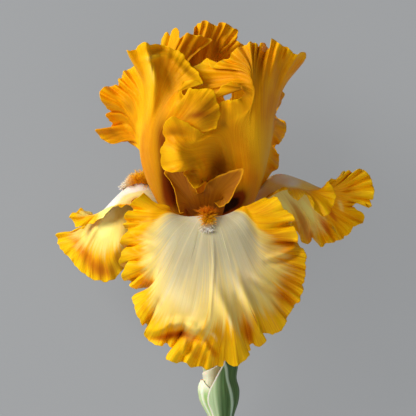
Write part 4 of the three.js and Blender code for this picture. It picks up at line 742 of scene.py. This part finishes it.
# ---- Materials ----
class Finish:
    """A material with a Principled shader and short calls for its pattern nodes."""

    def __init__(self, name, **sockets):
        self.material = bpy.data.materials.new(name)
        self.material.use_nodes = True
        self.tree = self.material.node_tree
        self.shader = self.tree.nodes["Principled BSDF"]
        for key, value in sockets.items():
            self.put(self.shader.inputs[key.replace("_", " ")], value)

    def put(self, socket, value):
        if isinstance(value, bpy.types.NodeSocket):
            self.tree.links.new(value, socket)
        elif socket.type == "RGBA":
            socket.default_value = (*value, 1)
        else:
            socket.default_value = value

    def node(self, kind, inputs, **settings):
        """A pattern node, with numbers, colours or other nodes' outputs on its inputs."""
        made = self.tree.nodes.new(kind)
        for key, value in settings.items():
            setattr(made, key, value)
        for key, value in inputs.items():
            self.put(made.inputs[key], value)
        return made

    def plus(self, a, b):
        return self.node("ShaderNodeMath", {0: a, 1: b}, operation="ADD").outputs[0]

    def times(self, a, b):
        return self.node("ShaderNodeMath", {0: a, 1: b}, operation="MULTIPLY").outputs[0]

    def ramp(self, value, low, high):
        """0 where value is under low, 1 over high, and smooth between."""
        inputs = {"Value": value, "From Min": low, "From Max": high}
        return self.node("ShaderNodeMapRange", inputs, interpolation_type="SMOOTHSTEP").outputs["Result"]

    def mix(self, share, a, b, blend="MIX"):
        inputs = {"Factor": share, 6: a, 7: b}
        return self.node("ShaderNodeMix", inputs, data_type="RGBA", blend_type=blend).outputs[2]

    def coats(self, base, *coats, blend="MIX"):
        """The base under coats, each (value, low, high, colour) and full where value is past high, with a
        strength where that isn't 1."""
        for value, low, high, colour, *strength in coats:
            share = self.ramp(value, low, high)
            if strength:
                share = self.times(share, *strength)
            base = self.mix(share, base, colour, blend)
        return base

    def tints(self, base, *coats):
        """The base multiplied by coats."""
        return self.coats(base, *coats, blend="MULTIPLY")

    def place(self):
        """Across and out from the claw, from the blade's own map."""
        uv = self.node("ShaderNodeUVMap", {}, uv_map="blade")
        split = self.node("ShaderNodeSeparateXYZ", {0: uv.outputs[0]})
        return split.outputs[0], split.outputs[1]

    def value(self, name):
        return self.node("ShaderNodeAttribute", {}, attribute_name=name).outputs["Fac"]

    def noise(self, where, scale, detail):
        inputs = {"Vector": where, "Scale": scale, "Detail": detail}
        return self.node("ShaderNodeTexNoise", inputs).outputs["Fac"]

    def streaks(self, u, v, across_scale, along_scale, detail=3.0):
        """Noise drawn out along the blade, from 0 to 1."""
        inputs = {0: self.times(u, across_scale), 1: self.times(v, along_scale)}
        return self.noise(self.node("ShaderNodeCombineXYZ", inputs).outputs[0], 1.0, detail)

    def clouds(self, scale, detail=4.0):
        return self.noise(self.node("ShaderNodeTexCoord", {}).outputs["Object"], scale, detail)

    def bump(self, height, strength, distance):
        made = self.node("ShaderNodeBump", {"Height": height, "Strength": strength, "Distance": distance})
        self.put(self.shader.inputs["Normal"], made.outputs["Normal"])

    def rough(self, value, low, high):
        made = self.node("ShaderNodeMapRange", {"Value": value, "To Min": low, "To Max": high})
        self.put(self.shader.inputs["Roughness"], made.outputs["Result"])

    def coloured(self, value):
        """The material in its colour."""
        self.put(self.shader.inputs["Base Color"], value)
        return self.material


def petal_finish(name, veins=110.0, strength=0.55, **more):
    """The shine, glow and veins of a thin petal: the finish, its map outwards, its fine and broad veins."""
    f = Finish(name, Subsurface_Weight=0.25, Subsurface_Scale=0.0012, Subsurface_Radius=(1.0, 0.55, 0.12),
               Specular_IOR_Level=0.16, **more)
    u, v = f.place()
    fine = f.streaks(u, v, veins, 2.2, 2.0)
    broad = f.streaks(u, v, veins / 4, 1.6, 2.0)
    f.bump(f.plus(f.times(fine, 0.6), broad), strength, 0.0005)
    f.rough(fine, 0.42, 0.62)
    return f, v, fine, broad


def lined_finish(name, scales, bump, rough, glow, **more):
    """A finish with lines along the piece, its map and its lines. It takes the scales of the lines across
    and along, the strength and depth of the bump, the least and most roughness, and the weight and depth
    of the glow."""
    f = Finish(name, Subsurface_Weight=glow[0], Subsurface_Scale=glow[1], **more)
    u, v = f.place()
    lines = f.streaks(u, v, *scales)
    f.bump(lines, *bump)
    f.rough(lines, *rough)
    return f, u, v, lines


# Colours of the petals and style arms, then of the hairs and stamens, then of the green and papery parts.
GOLD = (0.84, 0.37, 0.001)
BRIGHT_GOLD = (0.95, 0.49, 0.001)
DEEP_GOLD = (0.78, 0.29, 0.001)
# Painted light on the standards: lit gold and the paler gold paint highlights; shade gold, the deep
# red-brown and the near black paint shade in folds, recesses and gaps.
LIT_GOLD = (0.95, 0.47, 0.006)
HIGHLIGHT_GOLD = (0.82, 0.62, 0.15)
SHADE_GOLD = (0.58, 0.24, 0.002)
DEEP_SHADE_RED = (0.24, 0.035, 0.0004)
SHADOW_BLACK = (0.015, 0.002, 0.0002)
# Yellower gold for the falls' outer margins, a painted highlight where the frills catch the light.
MARGIN_HIGHLIGHT_GOLD = (1.0, 0.57, 0.001)
FALL_GOLD = (0.95, 0.45, 0.001)
HALO_GOLD = (0.93, 0.66, 0.16)
# Painted highlight on the front fall.
LIT_BUTTER = (0.94, 0.80, 0.46)
# Painted shade on the falls' gold margins.
FALL_SHADE_GOLD = (0.74, 0.25, 0.001)
# The front fall's cream, darkened to paint the shade that the standards cast on its middle.
SHADED_CREAM = (0.53, 0.48, 0.30)
BUTTER = (0.86, 0.71, 0.41)
SIDE_CREAM = (0.90, 0.78, 0.32)
SIDE_BUTTER = (0.93, 0.73, 0.16)
HAFT_WHITE = (0.86, 0.84, 0.78)
# Painted highlight on the side falls.
LIT_LEMON = (0.98, 0.85, 0.26)
HAFT_VEIN = (0.42, 0.17, 0.01)
STYLE_BROWN = (0.50, 0.16, 0.001)
STYLE_UMBER = (0.42, 0.145, 0.001)
HAIR_ORANGE = (0.72, 0.15, 0.001)
HAIR_GOLD = (1.0, 0.50, 0.004)
HAIR_WHITE = (0.98, 0.94, 0.84)
POLLEN = (0.78, 0.70, 0.45)
PALE_POLLEN = (0.90, 0.86, 0.68)
TUBE_CREAM = (0.54, 0.52, 0.33)
OVARY_GREEN = (0.32, 0.42, 0.15)
TUBE_OLIVE = (0.26, 0.23, 0.07)
STEM_GREEN = (0.10, 0.20, 0.045)
STEM_LIGHT = (0.24, 0.38, 0.12)
STEM_BLOOM = (0.30, 0.44, 0.22)
CUT_GREEN = (0.55, 0.62, 0.34)
BRACT_SHADE = (0.04, 0.095, 0.02)
BRACT_GREEN = (0.12, 0.23, 0.075)
BRACT_PALE = (0.26, 0.42, 0.18)
BRACT_LIGHT = (0.52, 0.66, 0.38)
# Pale keel green, partly a painted highlight along the outer bract's keel.
KEEL_HIGHLIGHT_GREEN = (0.50, 0.66, 0.50)
PAPER_EDGE = (0.78, 0.74, 0.64)
BROWN_EDGE = (0.34, 0.13, 0.035)
LEFT_GREEN = (0.36, 0.56, 0.18)
LEFT_CREAM = (0.92, 0.89, 0.66)
LEFT_LINE = (0.80, 0.86, 0.56)
LEFT_KEEL = (0.90, 0.92, 0.74)
LEFT_TIP = (0.62, 0.40, 0.20)
PAPER = (0.76, 0.74, 0.52)
PAPER_BROWN = (0.30, 0.25, 0.09)
PAPER_LINE = (0.64, 0.60, 0.44)
PAPER_RIM = (0.84, 0.80, 0.74)
PAPER_SCORCH = (0.36, 0.15, 0.04)


def standard_finish():
    f, v, fine, broad = petal_finish("standard_gold", Specular_Tint=(1.0, 0.78, 0.35))
    base = f.coats(
        DEEP_GOLD, (v, 0.3, 0.9, GOLD), (v, 0.93, 1.0, BRIGHT_GOLD), (broad, 0.45, 0.8, BRIGHT_GOLD, 0.4))
    base = f.tints(base, (fine, 0.62, 0.3, (0.92, 0.84, 0.7)), (f.clouds(60), 0.6, 0.35, (0.9, 0.8, 0.65)))
    # Painted light: strokes of painted highlight lift the gold to lit and paler gold, and strokes of
    # painted shade take it to shade gold, deep red-brown and near black in the darkest gaps.
    light_and_shade = f.plus(f.value("light_and_shade"), f.times(f.plus(fine, -0.5), 0.3))
    return f.coloured(f.coats(
        base, (light_and_shade, 0.05, 0.5, LIT_GOLD), (light_and_shade, 0.5, 1.0, HIGHLIGHT_GOLD), (light_and_shade, -0.05, -0.5, SHADE_GOLD),
        (light_and_shade, -0.35, -0.85, DEEP_SHADE_RED), (light_and_shade, -1.0, -1.6, SHADOW_BLACK)))


def fall_finish(name, cream, butter, lit):
    """Cream in the middle with a feathered gold margin and brown veins on the haft, with painted
    highlights, paler and whiter, and painted shade, browner, from the strokes.
    """
    f, v, fine, broad = petal_finish(name, 90.0, 0.22, Specular_Tint=(1.0, 0.9, 0.65))
    middle = f.coats(
        cream, (v, 0.4, 0.8, butter), (broad, 0.5, 0.75, butter, 0.3), (v, 0.34, 0.2, HAFT_WHITE))
    middle = f.tints(middle, (fine, 0.5, 0.3, (0.90, 0.87, 0.76)))
    feather = f.plus(f.times(fine, 0.22), f.times(broad, 0.3))
    gilt = f.plus(f.value("gilt"), f.plus(feather, -0.26))
    # Painted light: strokes of painted highlight and painted shade, with a little of the fine veins.
    light_and_shade = f.plus(f.value("light_and_shade"), f.times(f.plus(fine, -0.5), 0.4))
    # Yellower towards the outer margin, as a painted highlight on the frills.
    gold = f.coats(FALL_GOLD, (v, 0.76, 0.97, MARGIN_HIGHLIGHT_GOLD))
    gold = f.tints(gold, (fine, 0.6, 0.3, (0.86, 0.74, 0.6)))
    # Painted shade on the gold where the strokes are deeper.
    gold = f.coats(gold, (light_and_shade, -0.05, -0.8, FALL_SHADE_GOLD))
    base = f.coats(middle, (gilt, -0.3, 0.0, HALO_GOLD), (gilt, -0.03, 0.11, gold))
    haft = f.times(f.ramp(v, 0.36, 0.2), f.ramp(fine, 0.52, 0.62))
    base = f.mix(f.times(haft, 0.6), base, HAFT_VEIN)
    # Painted highlight: the paler strokes turn the haft white and the rest lit butter or lit lemon.
    base = f.coats(base, (light_and_shade, 0.3, 0.85, f.coats(HAFT_WHITE, (v, 0.5, 0.62, lit))))
    # Painted shade: the deeper strokes brown the petal.
    return f.coloured(f.tints(
        base, (light_and_shade, -0.05, -0.9, (0.74, 0.52, 0.28)), (f.clouds(40), 0.62, 0.3, (0.95, 0.9, 0.85))))


def style_finish():
    f, v, fine, _ = petal_finish("style_gold")
    base = f.coats(STYLE_BROWN, (v, 0.3, 0.95, STYLE_UMBER), (v, 0.965, 1.0, GOLD))
    return f.coloured(f.tints(base, (fine, 0.6, 0.3, (0.8, 0.7, 0.55))))


def beard_finish():
    """Hairs from burnt orange in the throat to golden and then white in front, darker at their roots."""
    f = Finish("beard_hair", Subsurface_Weight=0.2, Subsurface_Scale=0.0004,
               Subsurface_Radius=(1.0, 0.6, 0.2), Specular_IOR_Level=0.1)
    front = f.value("along")
    hair = f.coats(HAIR_ORANGE, (front, 0.3, 0.66, HAIR_GOLD), (front, 0.7, 0.88, HAIR_WHITE))
    root = f.mix(1.0, hair, (0.85, 0.6, 0.4), "MULTIPLY")
    base = f.coats(root, (f.value("tip"), 0.0, 0.4, hair))
    f.bump(f.clouds(2500, 2.0), 0.2, 0.0001)
    f.rough(f.clouds(900, 2.0), 0.5, 0.75)
    return f.coloured(f.tints(base, (f.clouds(700, 2.0), 0.65, 0.35, (0.92, 0.82, 0.7))))


def anther_finish():
    f = Finish("stamen_cream", Subsurface_Weight=0.2, Subsurface_Scale=0.001)
    grain = f.clouds(1500, 3.0)
    f.bump(grain, 0.5, 0.0002)
    f.rough(grain, 0.6, 0.85)
    return f.coloured(f.coats(POLLEN, (grain, 0.35, 0.7, PALE_POLLEN)))


def tube_finish():
    f, u, v, lines = lined_finish("tube_green_cream", (60, 1.5), (0.3, 0.0004), (0.38, 0.52), (0.3, 0.002))
    base = f.coats(TUBE_CREAM, (v, 0.62, 0.85, OVARY_GREEN), (u, 0.13, 0.2, TUBE_OLIVE))
    return f.coloured(f.tints(base, (lines, 0.6, 0.35, (0.86, 0.88, 0.6))))


def stem_finish():
    f, _, v, lines = lined_finish("stem_green", (70, 3.0), (0.35, 0.0005), (0.3, 0.5), (0.12, 0.001))
    return f.coloured(f.coats(
        STEM_GREEN, (lines, 0.35, 0.68, STEM_LIGHT), (f.clouds(160), 0.5, 0.75, STEM_BLOOM),
        (v, 0.985, 0.995, CUT_GREEN)))


def on_keel(f, base, left, right, strength, colour):
    """The base with a coat along a bract's keel, between fades left and right of it in degrees."""
    away = f.value("from_keel")
    share = f.times(f.ramp(away, *left), f.ramp(away, *right))
    return f.mix(f.times(share, strength), base, colour)


def outer_bract_finish():
    """Dark green with a pale keel, lightened as a painted highlight, whitish and brown along its papery
    edges.
    """
    f, _, _, lines = lined_finish(
        "outer_bract_green", (46, 1.4), (0.4, 0.0004), (0.42, 0.6), (0.12, 0.0012), Specular_IOR_Level=0.25)
    dark = f.coats(BRACT_SHADE, (lines, 0.32, 0.7, BRACT_GREEN))
    pale = f.coats(BRACT_PALE, (lines, 0.3, 0.7, BRACT_LIGHT))
    base = f.coats(dark, (f.value("degrees"), 12, -14, pale))
    base = on_keel(f, base, (-7, -2), (5, 1), 0.8, KEEL_HIGHLIGHT_GREEN)
    left_edge = f.plus(f.value("edge"), f.times(lines, 0.5))
    return f.coloured(f.coats(
        base, (left_edge, 1.3, 0.75, PAPER_EDGE), (f.value("far_edge"), 1.6, 0.6, BROWN_EDGE)))


def left_bract_finish():
    f, _, v, lines = lined_finish(
        "left_bract_pale", (40, 1.2), (0.35, 0.0004), (0.38, 0.55), (0.25, 0.0015))
    base = f.coats(LEFT_GREEN, (v, 0.5, 0.85, LEFT_CREAM), (lines, 0.4, 0.75, LEFT_LINE))
    base = on_keel(f, base, (-10, -2), (10, 2), 0.7, LEFT_KEEL)
    return f.coloured(f.coats(base, (v, 0.968, 0.985, LEFT_TIP)))


def papery_bract_finish():
    f, _, _, lines = lined_finish("papery_bract", (50, 1.2), (0.6, 0.0004), (0.5, 0.75), (0.3, 0.0012))
    degrees = f.value("degrees")
    return f.coloured(f.coats(
        PAPER, (degrees, -48, -10, PAPER_BROWN), (lines, 0.45, 0.75, PAPER_LINE, 0.4),
        (f.value("edge"), 0.9, 0.3, PAPER_RIM), (degrees, 56, 64, PAPER_SCORCH)))


# ---- Round pieces ----
# Stations along each piece: x,y,z,radius.
TUBE = [
  0,3.55,0,3.9, 0,2.7,0,2.5, 0,1.6,0,1.9, 0,0.8,0,1.9, 0,0.6,0,6.2, 0,-0.6,0,6.6, 0,-4,0,6, 0,-10,0,5,
  0.1,-20,0,4.2, 0.2,-34,0,3.9, 0.4,-50,0,3.7, 1.8,-57,0,3.2, 3.2,-64,0,3.8, 4.6,-71,0,3.6,
  5.9,-78,0,2.4, 6.4,-82,0,1.9, 6.5,-83.6,0,1.7,
]
STEM = [
  6.5,-84,0,2.2, 6.5,-86.4,0,2.3, 6.5,-86.8,0,4.2, 6.5,-88.6,0,4.2, 6.5,-89,0,5.8, 6.6,-91,0,5.8,
  6.7,-95,0,5.1, 7,-104,-0.2,4.6, 7.6,-122,-0.8,4.4, 8.4,-148,-2,4.5,
]
FRONT_STAMEN = [
  0,1.1,4.35,0.45, 0,3.4,5.9,0.4, 0,6.4,8.2,0.4, 0,8.6,10,0.45, 0,9.2,10.6,1, 0,12,13.4,1.1,
  0,15,16.4,1, 0,16.6,18,0.5,
]
BACK_STAMEN = [
  0,1.1,4.35,0.45, 0,4.5,5.4,0.4, 0,8,6.6,0.4, 0,10.6,8,0.45, 0,11.3,8.4,1, 0,14.5,10.6,1.1,
  0,17.5,12.8,1, 0,19.2,14,0.5,
]
CUT_SLANT = 0.45
STEPS = 5  # rings to a station
STAMEN_SIDES = 16
STEM_SIDES = 48
ROUND_MAP = 0.3  # the width of the map round a piece
NUDGE = 1e-3  # share of a path, to find its direction


def anther_groove(angle, u):
    """The groove between an anther's two lobes."""
    return -0.22 * ramp(0.5, 0.6, u) * np.exp(-((np.cos(angle) - 1) ** 2) / 0.08)


def ovary_lobes(angle, u):
    return 0.07 * np.cos(3 * angle) * ramp(0.68, 0.74, u) * ramp(0.97, 0.9, u)


def stem_ribs(angle, u):
    return 0.018 * np.cos(9 * angle) + 0.02 * np.cos(2 * angle + 5 * u)


def round_rows(stations, sides, slant, steps=1, dent=None):
    """Rings of points round a path, with steps rings to a station and a slant on the last."""
    stations = spots(stations, 4)
    count = (len(stations) - 1) * steps
    angle = 2 * math.pi * np.arange(sides)[:, None] / sides
    rings = []
    for i in range(count + 1):
        u = i / count
        x, y, z, radius = along(stations, u)
        forward = unit((along(stations, min(u + NUDGE, 1)) - along(stations, max(u - NUDGE, 0)))[:3])
        right = unit(np.array([1.0, 0, 0]) - forward * forward[0])
        up = np.cross(right, forward)
        size = radius * (1 + (dent(angle, u) if dent else 0))
        lean = slant * radius * np.cos(angle) if i == count else 0
        rings.append([x, y, z] + right * size * np.sin(angle) + up * size * np.cos(angle) + forward * lean)
    return np.array(rings)


def round_piece(node, stations, material, sides, dent, slant=0.0, turn=0.0):
    rows = round_rows(stations, sides, slant, STEPS, dent)
    count = len(rows)
    verts = turned(np.concatenate([rows.reshape(-1, 3), [rows[0].mean(0), rows[-1].mean(0)]]), turn)
    rings = np.arange(rows[..., 0].size).reshape(count, sides)
    faces = walls(rings) + fan(rings[0, ::-1], rings.size) + fan(rings[-1], rings.size + 1)
    mesh = add_piece(node + "_fine", verts, faces, material, node)
    uv = map_grid((np.arange(sides) / sides + 0.5) % 1 * ROUND_MAP, np.linspace(0, 1, count)[:, None])
    set_uv(mesh, np.concatenate([uv, [[0, 0], [0, 1]]]))


PLACE = laid_matrix()

# ---- Petals and style arms ----
PETAL_THICKNESS = 0.55  # at the claw
STYLE_THICKNESS = 0.6
THINNING = 0.3  # from there to the margin
CRIMP = (0.85, 2.8)  # height and pitch
BACK_CRIMP = (1.1, 4.4)
STYLE_CRIMP = (0.35, 2.6)
# The radius where a fall's gold starts, from left to right.
GILT_EDGES = {
  "front_fall": [
    0, 0.25, 0.58, 0.68, 0.72, 0.74, 0.76, 0.80, 0.76, 0.70, 0.74, 0.78, 0.80, 0.80, 0.78, 0.66, 0.35, 0,
  ],
  "left_fall": [0.36, 0.5, 0.68, 0.76, 0.7, 0.7, 0.75, 0.75, 0.7, 0.7],
  "right_fall": [0.5, 0.62, 0.6, 0.55, 0.58, 0.72, 0.9, 0.85, 0.82, 0.7],
}


def petal_piece(node, ending, petal, material, seed, crimp, thickness, turn=0):
    """A petal or style arm, with the reliefs, strokes of painted shade and highlight, and gilt edge that
    its node has.
    """
    sheet, share, run = petal_sheet(petal)
    sheet = raised(crimped(sheet, run, seed, *crimp), RELIEFS.get(node, []))
    values = {}
    # Strokes of painted shade and painted highlight, as a number at each point.
    if node in LIGHT_AND_SHADE_STROKES:
        values["light_and_shade"] = strokes(sheet, LIGHT_AND_SHADE_STROKES[node])
    if node in GILT_EDGES:
        values["gilt"] = PETAL_ROWS - along(np.array(GILT_EDGES[node])[:, None], share)[:, 0]
    blade(node + ending, turned(sheet, turn), thickness - THINNING * PETAL_RADII, material, node,
          map_grid(run * MAP_SCALE, PETAL_ROWS), values)


# The front fall's middle is darkened to paint the shade of the standards on it.
FRONT_FALL_SKIN = fall_finish("front_fall_cream_and_gold", SHADED_CREAM, BUTTER, LIT_BUTTER)
SIDE_FALL_SKIN = fall_finish("side_fall_lemon_and_gold", SIDE_CREAM, SIDE_BUTTER, LIT_LEMON)
STANDARD_SKIN = standard_finish()
for node, petal, material, slot, seed, crimp in (
    ("front_fall", FRONT_FALL, FRONT_FALL_SKIN, "fall_petal", 11, CRIMP),
    ("left_fall", LEFT_FALL, SIDE_FALL_SKIN, "fall_petal", 12, CRIMP),
    ("right_fall", RIGHT_FALL, SIDE_FALL_SKIN, "fall_petal", 13, CRIMP),
    ("left_standard", LEFT_STANDARD, STANDARD_SKIN, "standard_petal", 14, CRIMP),
    ("right_standard", RIGHT_STANDARD, STANDARD_SKIN, "standard_petal", 15, CRIMP),
    ("back_standard", BACK_STANDARD, STANDARD_SKIN, "standard_petal", 16, BACK_CRIMP),
):
    petal_piece(node, "_bloom", petal, material, seed, crimp, PETAL_THICKNESS)

STYLE_SKIN = style_finish()
for node, style, turn, seed in (
    ("front_style", FRONT_STYLE, 0, 21),
    ("left_style", BACK_STYLE, -BACK_STYLE_TURN, 22),
    ("right_style", BACK_STYLE, BACK_STYLE_TURN, 23),
):
    petal_piece(node, "_arm", style, STYLE_SKIN, seed, STYLE_CRIMP, STYLE_THICKNESS, turn)

# ---- Beards ----
BEARD_SKIN = beard_finish()
HAIR_SIDES = 3
HAIR_RINGS = 4
HAIR_TAPER = 0.55
HAIR_HALVES = (0.13, 0.21)  # half thickness at the root, from least to most
HAIR_RISES = (0.5, 1.1)  # of a hair's heading off the petal
HAIR_LENGTHS = (0.75, 1.15)  # shares of the beard's length
HAIR_SPREAD = 0.42  # over the beard's half width
ROOT_LIFT = 0.15  # of a hair's root off the petal's middle surface
RADIUS_STEP = 0.01
SHARE_STEP = 0.02


def beard(node, fall, seed, count, radii, half, side, length, lean, shades):
    """Tapered hairs on one side of a fall's haft, between two radii and within half a width of its middle.
    Their shades run from orange at 0 to white at 1."""
    pick = np.random.default_rng(seed)
    at = [*fall["at"], 1.0]
    rows = [spots(row) for row in (*fall["rings"], sum(fall["rim"], []))]

    def spot(radius, share):
        return across(at, [along(row, share) for row in rows], radius)

    angle = 2 * math.pi * np.arange(HAIR_SIDES)[:, None] / HAIR_SIDES
    f = np.linspace(0, 1, HAIR_RINGS + 1)[:, None]
    verts, faces, places = [], [], []
    for _ in range(count):
        place = pick.uniform(0, 1)
        radius = radii[0] + (radii[1] - radii[0]) * place
        sway = np.clip(pick.normal(0, HAIR_SPREAD), -1, 1)
        share = 0.5 + half * sway * (0.55 + 0.45 * math.sin(math.pi * min(place + 0.2, 1)))
        root = spot(radius, share)
        down = unit(spot(radius + RADIUS_STEP, share) - spot(radius - RADIUS_STEP, share))
        over = unit(spot(radius, share + SHARE_STEP) - spot(radius, share - SHARE_STEP))
        normal = unit(np.cross(down, over)) * side
        rise = normal * pick.uniform(*HAIR_RISES)
        heading = unit(rise + down * (lean * (0.4 + place)) + over * (sway * 0.9 + pick.normal(0, 0.35)))
        reach = length * (0.55 + 0.45 * math.sin(math.pi * min(place + 0.15, 1)))
        reach *= pick.uniform(*HAIR_LENGTHS)
        curl = over * pick.normal(0, 0.35) - normal * pick.uniform(0.0, 0.5) + down * 0.2
        thick = pick.uniform(*HAIR_HALVES)
        side_way = unit(np.cross(heading, over + 0.01))
        other_way = unit(np.cross(heading, side_way))
        middles = root + normal * ROOT_LIFT + (heading * f + curl * f**2 / 2) * reach
        ring = side_way * np.cos(angle) + other_way * np.sin(angle)
        sides = middles[:-1, None] + ring * (thick * (1 - HAIR_TAPER * f[:-1, None]))
        first = len(verts)
        verts += [*sides.reshape(-1, 3), middles[-1]]
        rings = first + np.arange(HAIR_RINGS * HAIR_SIDES).reshape(HAIR_RINGS, HAIR_SIDES)
        faces += [rings[0, ::-1].tolist(), *walls(rings), *fan(rings[-1], len(verts) - 1)]
        places += [shades[0] + place * (shades[1] - shades[0])] * (len(verts) - first)
    mesh = add_piece(node + "_hairs", verts, faces, BEARD_SKIN, node)
    set_value(mesh, "along", places)
    set_value(mesh, "tip", [*np.repeat(f[:-1], HAIR_SIDES), 1.0] * count)


beard("front_beard", FRONT_FALL, seed=1, count=850, radii=(0.17, 0.35), half=0.085, side=1, length=5.5,
      lean=0.9, shades=(0.0, 0.95))
beard("left_beard", LEFT_FALL, seed=2, count=1000, radii=(0.22, 0.43), half=0.09, side=-1, length=6.4,
      lean=0.35, shades=(0.5, 0.9))
beard("right_beard", RIGHT_FALL, seed=3, count=400, radii=(0.12, 0.28), half=0.1, side=1, length=3.4,
      lean=0.8, shades=(0.25, 0.8))

# ---- Stamens, tube, ovary and stem ----
ANTHER_SKIN = anther_finish()
for node, stations, turn in (
    ("front_stamen", FRONT_STAMEN, 0),
    ("left_stamen", BACK_STAMEN, -BACK_STYLE_TURN),
    ("right_stamen", BACK_STAMEN, BACK_STYLE_TURN),
):
    round_piece(node, stations, ANTHER_SKIN, STAMEN_SIDES, anther_groove, turn=turn)
round_piece("tube_and_ovary", TUBE, tube_finish(), STEM_SIDES, ovary_lobes)
round_piece("stem", STEM, stem_finish(), STEM_SIDES, stem_ribs, CUT_SLANT)

# ---- Bracts ----
# Rows as in the CAD: height,centre x,half width,half depth, and the angles of both edges from the front.
OUTER_BRACT = [
  -88.3,6.5,5.3,5.3,-85,215, -85,6.5,5.3,5.2,-72,212, -77,6.25,6.75,6,-38,205, -70,5.6,9.6,8,-38,195,
  -64,5.25,10.5,8.6,-27,180, -58,5.4,8.95,8,-12,155, -52.5,5.6,9.4,8.2,6,110, -49.5,5.6,9.3,8,14,72,
  -47.6,5.6,8.9,7.6,18,27,
]
LEFT_BRACT = [
  -86.4,6.5,4.2,4.2,-190,20, -82,6.2,4.1,3.95,-190,20, -77,5.5,5.5,4.4,-185,15, -70,5.1,9,6.3,-180,5,
  -66,4.8,9.7,7.1,-175,0, -63.5,4.75,9.9,7.3,-165,-20, -61,4.8,9.4,7.4,-150,-40,
  -58.8,5,8.6,7.2,-128,-62,
]
PAPERY_BRACT = [
  -86.4,6.5,3.15,3.15,-170,120, -82,6.3,3.1,3,-170,120, -77,5.8,4.2,3.5,-165,115,
  -70,5.2,7.7,5.4,-160,105, -63,5,8.5,6.3,-150,90, -58.5,5.1,7.7,6.3,-125,75, -56,5.2,8.1,6.5,-98,70,
  -54.8,5.3,8.1,6.6,-66,68, -53.5,5.4,7.9,6.6,-35,66, -51,5.5,7.5,6.4,2,60, -49.4,5.5,7.2,6.2,26,50,
]
BRACT_GRID = 72  # faces along and round a bract
BRACT_THICKNESS = 0.55
BRACT_INSET = 0.35  # of its middle surface, inside the rows
BRACT_MAP = 0.6  # the width of its map round a whole turn
KEEL_WIDTH = 8  # degrees
RIBS = 16  # round a whole turn
RIB_HEIGHT = 0.06


def bract(node, rows, keel_angles, keel_height, material, seed):
    """A sheath with fine ribs and a keel that runs from one angle at its foot to another at its tip."""
    v = np.linspace(0, 1, BRACT_GRID + 1)[:, None]
    y, centre, half_width, half_depth, start, end = along(spots(rows, 6), v[:, 0]).T[..., None]
    degrees = start + (end - start) * v.T
    angle = np.radians(degrees)
    from_keel = degrees - (keel_angles[0] + (keel_angles[1] - keel_angles[0]) * v)
    keel = keel_height * np.sin(math.pi * v) ** 0.5 * np.exp(-((from_keel / KEEL_WIDTH) ** 2))
    out = keel + RIB_HEIGHT * np.cos(angle * RIBS + 1.5 * wander(v * 5, seed)) - BRACT_INSET
    x, z = centre + (half_width + out) * np.sin(angle), (half_depth + out) * np.cos(angle)
    sheet = np.stack(np.broadcast_arrays(x, y, z), -1)
    run = np.cumsum(np.linalg.norm(np.diff(sheet, axis=1, prepend=sheet[:, :1]), axis=2), axis=1)
    values = {"degrees": degrees, "from_keel": from_keel, "edge": run, "far_edge": run[:, -1:] - run}
    uv = map_grid(degrees / 360 * BRACT_MAP, v)
    blade(node + "_fine", sheet, BRACT_THICKNESS, material, node, uv, values)


bract("outer_bract", OUTER_BRACT, (60, 8), 0.9, outer_bract_finish(), 31)
bract("left_bract", LEFT_BRACT, (-52, -52), 0.4, left_bract_finish(), 32)
bract("papery_bract", PAPERY_BRACT, (0, 0), 0, papery_bract_finish(), 33)

# ---- Floor, lights and camera ----
FLOOR_HALF = 4  # metres
FLOOR_GREYS = ((0.062, 0.064, 0.067), (0.070, 0.072, 0.075))
FLOOR_GLOW = (0.94, 0.97, 1.0)
SKY = (0.93, 0.96, 1.0, 1)
SKY_STRENGTH = 0.17
LIT_SPOT = [0, 10, 20]
SENSOR = 36  # millimetres
CAMERA_REACH = 20  # metres


def floor_finish():
    f = Finish("floor_grey", Emission_Color=FLOOR_GLOW, Emission_Strength=0.29)
    grain = f.clouds(3.0, 6.0)
    f.rough(grain, 0.85, 0.95)
    return f.coloured(f.mix(grain, *FLOOR_GREYS))


def looking(spot, target):
    """The place of a light or camera at spot that looks at target, with the flower's top upwards."""
    spot, target, top = to_row([spot, target, [0, 1, 0]])
    back = unit(spot - target)
    right = unit(np.cross(top - to_row([0, 0, 0]), back))
    turn = Matrix(np.stack([right, np.cross(back, right), back], 1).tolist()).to_4x4()
    return Matrix.Translation(Vector(spot)) @ turn


corners = [(x * FLOOR_HALF, y * FLOOR_HALF, 0) for x, y in ((-1, -1), (1, -1), (1, 1), (-1, 1))]
mesh_object("floor", corners, [(0, 1, 2, 3)], floor_finish())

# Soft square lights in the flower's frame: name, spot, size in metres, power, colour.
for name, spot, size, power, colour in (
    ("key", [-980, 580, 560], 0.8, 20, (1.0, 0.98, 0.94)),
    ("fill", [200, -200, 1500], 1.2, 4.2, (1.0, 0.98, 0.96)),
    ("bounce", [0, -1150, 700], 1.4, 5.0, (1.0, 0.97, 0.93)),
):
    light = bpy.data.lights.new(name, "AREA")
    light.size = size
    light.energy = power
    light.color = colour
    linked(name, light).matrix_world = looking(spot, LIT_SPOT)

world = bpy.data.worlds.new("studio")
world.use_nodes = True
background = world.node_tree.nodes["Background"]
background.inputs["Color"].default_value = SKY
background.inputs["Strength"].default_value = SKY_STRENGTH
bpy.context.scene.world = world
bpy.context.scene.view_settings.view_transform = "Standard"

camera = bpy.data.cameras.new("camera")
camera.sensor_width = SENSOR
camera.lens = SENSOR * CAMERA_DISTANCE / (PHOTO_SIDE * SCALE_OF_PHOTO)
camera.clip_end = CAMERA_REACH
eye = linked("camera", camera)
middle = [(PHOTO_SIDE / 2 - AXIS_COLUMN) * SCALE_OF_PHOTO, (CLAW_ROW - PHOTO_SIDE / 2) * SCALE_OF_PHOTO]
eye.matrix_world = looking([*middle, CAMERA_DISTANCE], [*middle, 0])
bpy.context.scene.camera = eye
